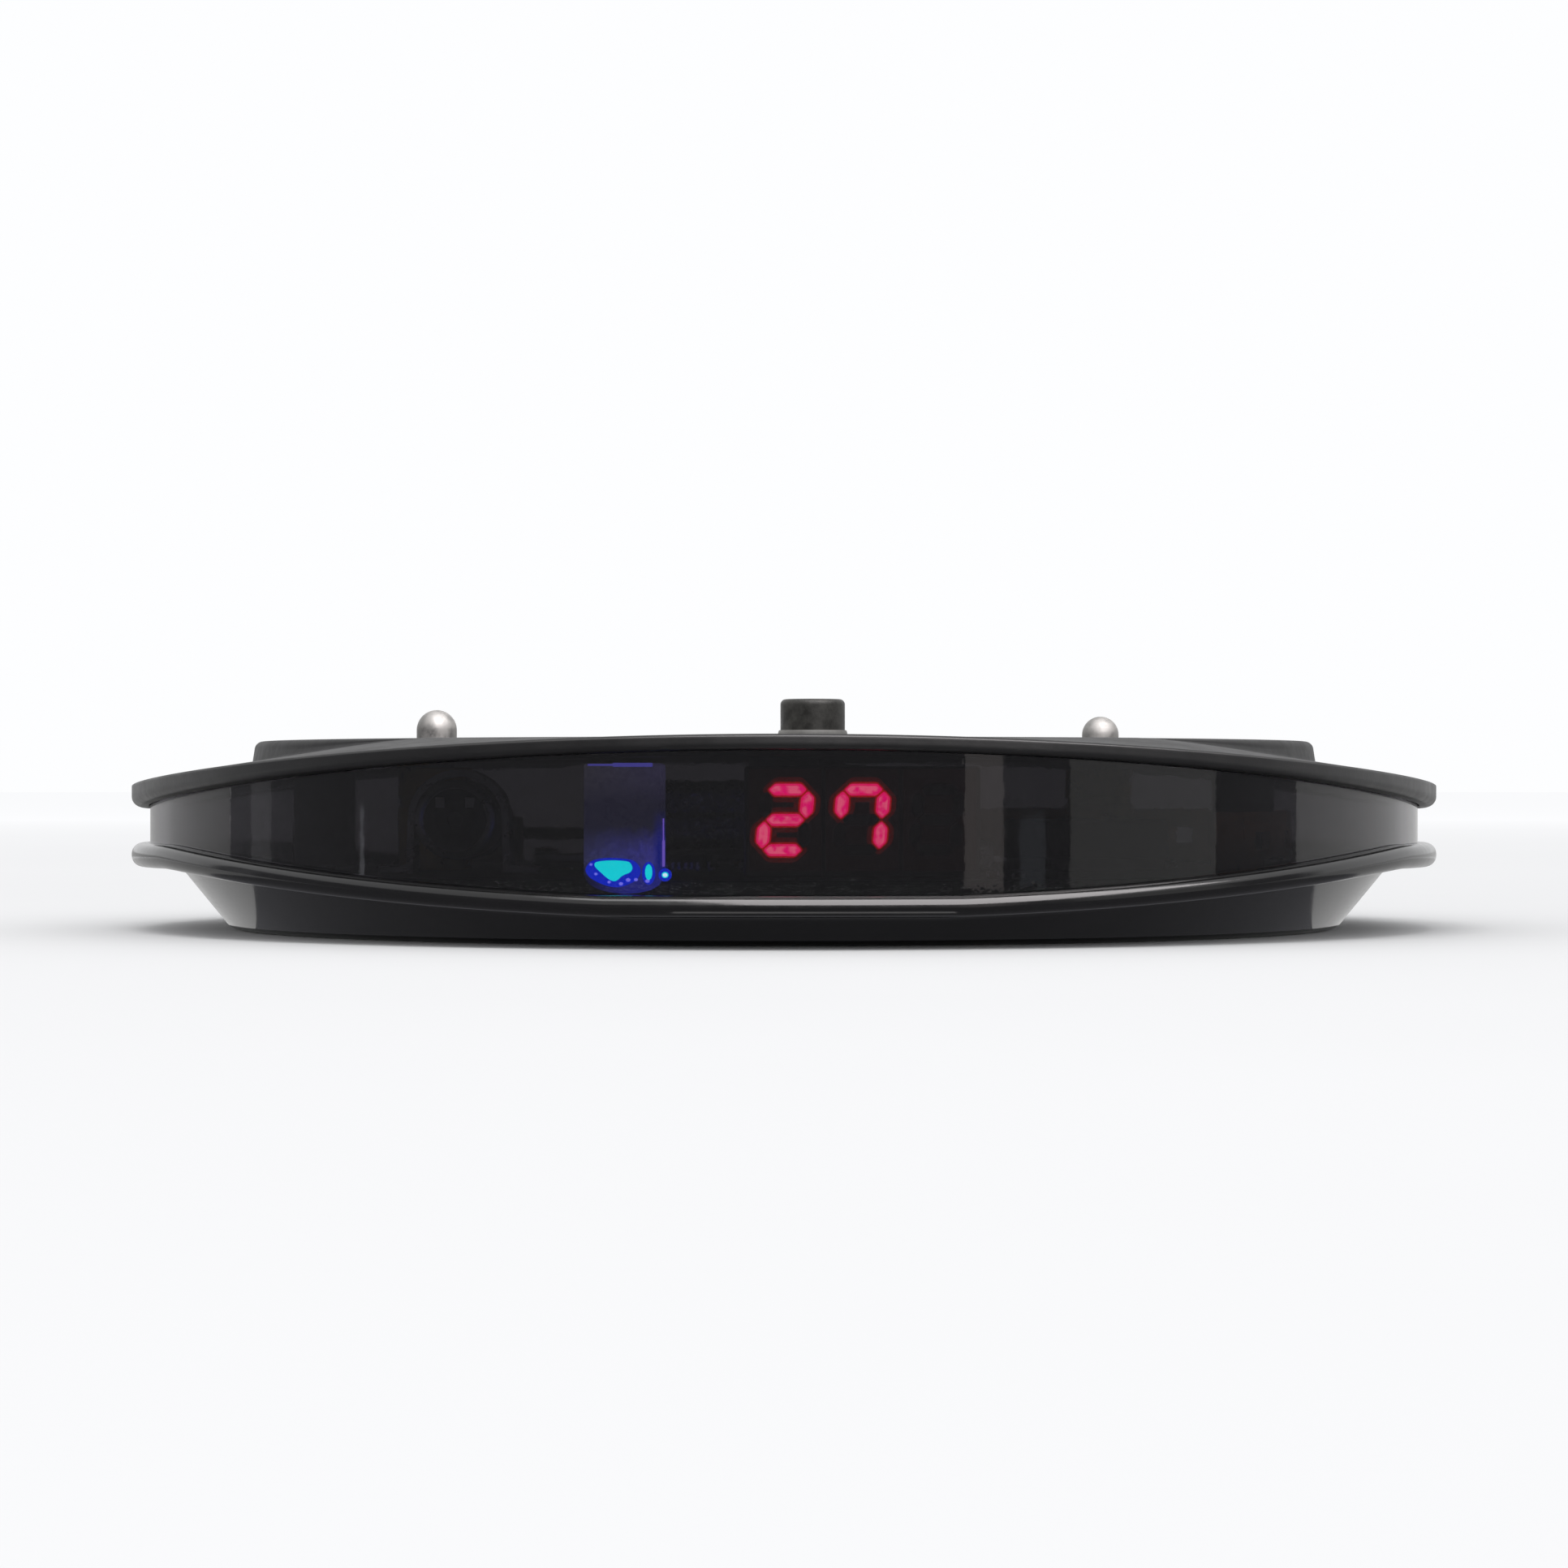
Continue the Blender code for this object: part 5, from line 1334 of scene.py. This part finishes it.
def make_label():
    film = detailed("blank_label_film", (0.5, 0.5, 0.51), 0.38, 0.3, grain=0.12, depth=0.002,
                    patch=6.0, stretch=(0.2, 1.0, 1.0))
    low, high = box("underside_label")
    outline = soft_corners([(low.x, low.y), (high.x, low.y), (high.x, high.y), (low.x, high.y)],
                           1.2, 6)
    shape = bmesh.new()
    add_prism(shape, [(x, y, low.z) for x, y in outline], (0, 0, high.z - low.z), 0.03, 1)
    show_shape("blank_label", shape, [film], "underside_label")


# ---------------------------------------------------------------- stage

WHITE = (1.0, 1.0, 1.0)
DARK = (0.93, 0.93, 1.0)
HIDDEN_FROM = ("camera", "diffuse", "transmission", "volume_scatter", "shadow")

# Curved cards round the pager: name, azimuths in degrees from the display's side, (radius, height)
# of the near and the far edge, colour, strength, and where needed steps and the far edge's lean
CARDS = (
    ("dark_card", (-103.0, 90.5), (220.0, 0.2), (220.0, 100.0), DARK, 0.2, 48, 1.0),
    ("dark_floor_card", (-66.0, 66.0), (46.2, 0.1), (220.0, 0.1), DARK, 0.2, 48),
    ("foot_line_card", (-9.0, 14.0), (54.4, 0.2), (55.8, 0.2), (1.0, 0.98, 0.98), 1.5, 16),
    ("left_foot_card", (-150.0, -66.0), (46.2, 0.15), (130.0, 0.15), WHITE, 0.66, 32),
    ("right_foot_card", (66.0, 150.0), (46.2, 0.15), (130.0, 0.15), WHITE, 0.66, 32),
    ("left_pale_card", (-160.0, -103.0), (220.0, 0.2), (220.0, 12.5), WHITE, 0.5),
    ("right_pale_card", (90.5, 160.0), (220.0, 0.2), (220.0, 12.5), WHITE, 0.7),
    ("grey_card", (44.0, 71.2), (215.0, 0.3), (215.0, 100.0), WHITE, 0.56),
    ("warm_card", (27.0, 33.1), (214.0, 0.3), (214.0, 100.0), (1.0, 0.93, 0.92), 0.8),
    ("cool_card", (35.7, 39.9), (214.0, 0.3), (214.0, 8.5), (0.85, 0.9, 1.0), 0.45),
    ("left_line_card", (-69.5, -68.7), (214.0, 0.3), (214.0, 9.5), (0.9, 0.92, 1.0), 1.0),
    ("left_soft_card", (-96.1, -90.4), (214.0, 0.3), (214.0, 100.0), (0.95, 0.95, 1.0), 0.42),
)


def light_card(name, rows, colour, strength):
    """Card of plain light that only reflections see."""
    material = bpy.data.materials.new(name)
    material.use_nodes = True
    tree = material.node_tree
    tree.nodes.clear()
    light = tree.nodes.new("ShaderNodeEmission")
    light.inputs["Color"].default_value = (*colour, 1.0)
    light.inputs["Strength"].default_value = strength
    out = tree.nodes.new("ShaderNodeOutputMaterial")
    tree.links.new(light.outputs[0], out.inputs["Surface"])
    shape = bmesh.new()
    add_grid(shape, rows, 0, False)
    card = add_object(name, mesh_from(name, shape, [material]))
    for ray in HIDDEN_FROM:
        setattr(card, "visible_" + ray, False)


def curved_card(name, azimuths, near, far, colour, strength, steps=24, lean=0.0):
    rows = []
    for step in range(steps + 1):
        turn = math.radians(azimuths[0] + (azimuths[1] - azimuths[0]) * step / steps)
        edges = ((*near, turn), (*far, turn + math.radians(lean)))
        rows.append([(radius * math.sin(angle), -radius * math.cos(angle), height)
                     for radius, height, angle in edges])
    light_card(name, rows, colour, strength)


def pale_floor():
    """Matt pale floor that turns as white as the room far away."""
    skin = Surface("pale_floor", (0.74, 0.74, 0.745), 0.6, Specular_IOR_Level=0.0)
    reach = skin.add("VectorMath", {0: skin.place}, operation="LENGTH").outputs["Value"]
    near = skin.blend(skin.noise(200.0, 3.0, 0.5), (0.735, 0.735, 0.74), (0.75, 0.75, 0.755))
    tone = skin.mix(skin.spread(reach, 0.0, 1.0, 120 * MM, 1100 * MM), near, (0.97, 0.97, 0.975))
    grain = skin.noise(1.5)
    return skin.use(tone, skin.spread(grain, 0.55, 0.65), skin.bump(grain, 0.01))


def make_stage():
    rows = [[(radius * math.cos(TURN * k / 96), radius * math.sin(TURN * k / 96), 0.0)
             for radius in (0.0, 300.0, 6000.0)] for k in range(96)]
    shape = bmesh.new()
    add_grid(shape, rows)
    add_object("floor", mesh_from("floor", shape, [pale_floor()]))
    for card in CARDS:
        curved_card(*card)
    light_card("overhead_card", [[(x, y, 500.0) for x in (-110.0, 600.0)] for y in (-1400.0, 0.0)],
               (1.0, 0.96, 0.97), 8.4)


def make_lights():
    """A pale even room, and one soft box above the pager, up and to its left."""
    world = bpy.data.worlds.new("soft_room")
    world.use_nodes = True
    background = world.node_tree.nodes["Background"]
    background.inputs["Color"].default_value = (0.985, 0.99, 1.0, 1.0)
    background.inputs["Strength"].default_value = 1.0
    bpy.context.scene.world = world
    data = bpy.data.lights.new("overhead_softbox", "AREA")
    data.shape = "RECTANGLE"
    data.size, data.size_y = 0.45, 0.3
    data.energy = 1.6
    lamp = add_object("overhead_softbox", data)
    lamp.location = (-0.08, -0.2, 0.75)
    aim = Vector((0.0, 0.0, 0.01))
    lamp.rotation_euler = (Vector(lamp.location) - aim).to_track_quat("Z", "Y").to_euler()


def make_camera():
    data = bpy.data.cameras.new("camera")
    data.lens = 100.0
    data.sensor_width = 36.0
    data.clip_start = 0.005
    camera = add_object("camera", data)
    camera.location = (0.0, -0.3646, 0.0119)
    camera.rotation_euler = (math.pi / 2, 0.0, 0.0)
    bpy.context.scene.camera = camera
    bpy.context.scene.view_settings.view_transform = "Standard"


# ---------------------------------------------------------------- everything

for make in (make_camera, make_lights, make_stage, make_upper_case, make_lower_case, make_lens,
             make_stacking_post, make_contacts, make_screws, make_digits, make_display_module,
             make_header, make_light_guide, make_lamps, make_motor, make_board, make_chips,
             make_shield, make_crystal, make_battery, make_socket, make_leads, make_antenna,
             make_buzzer, make_label):
    make()
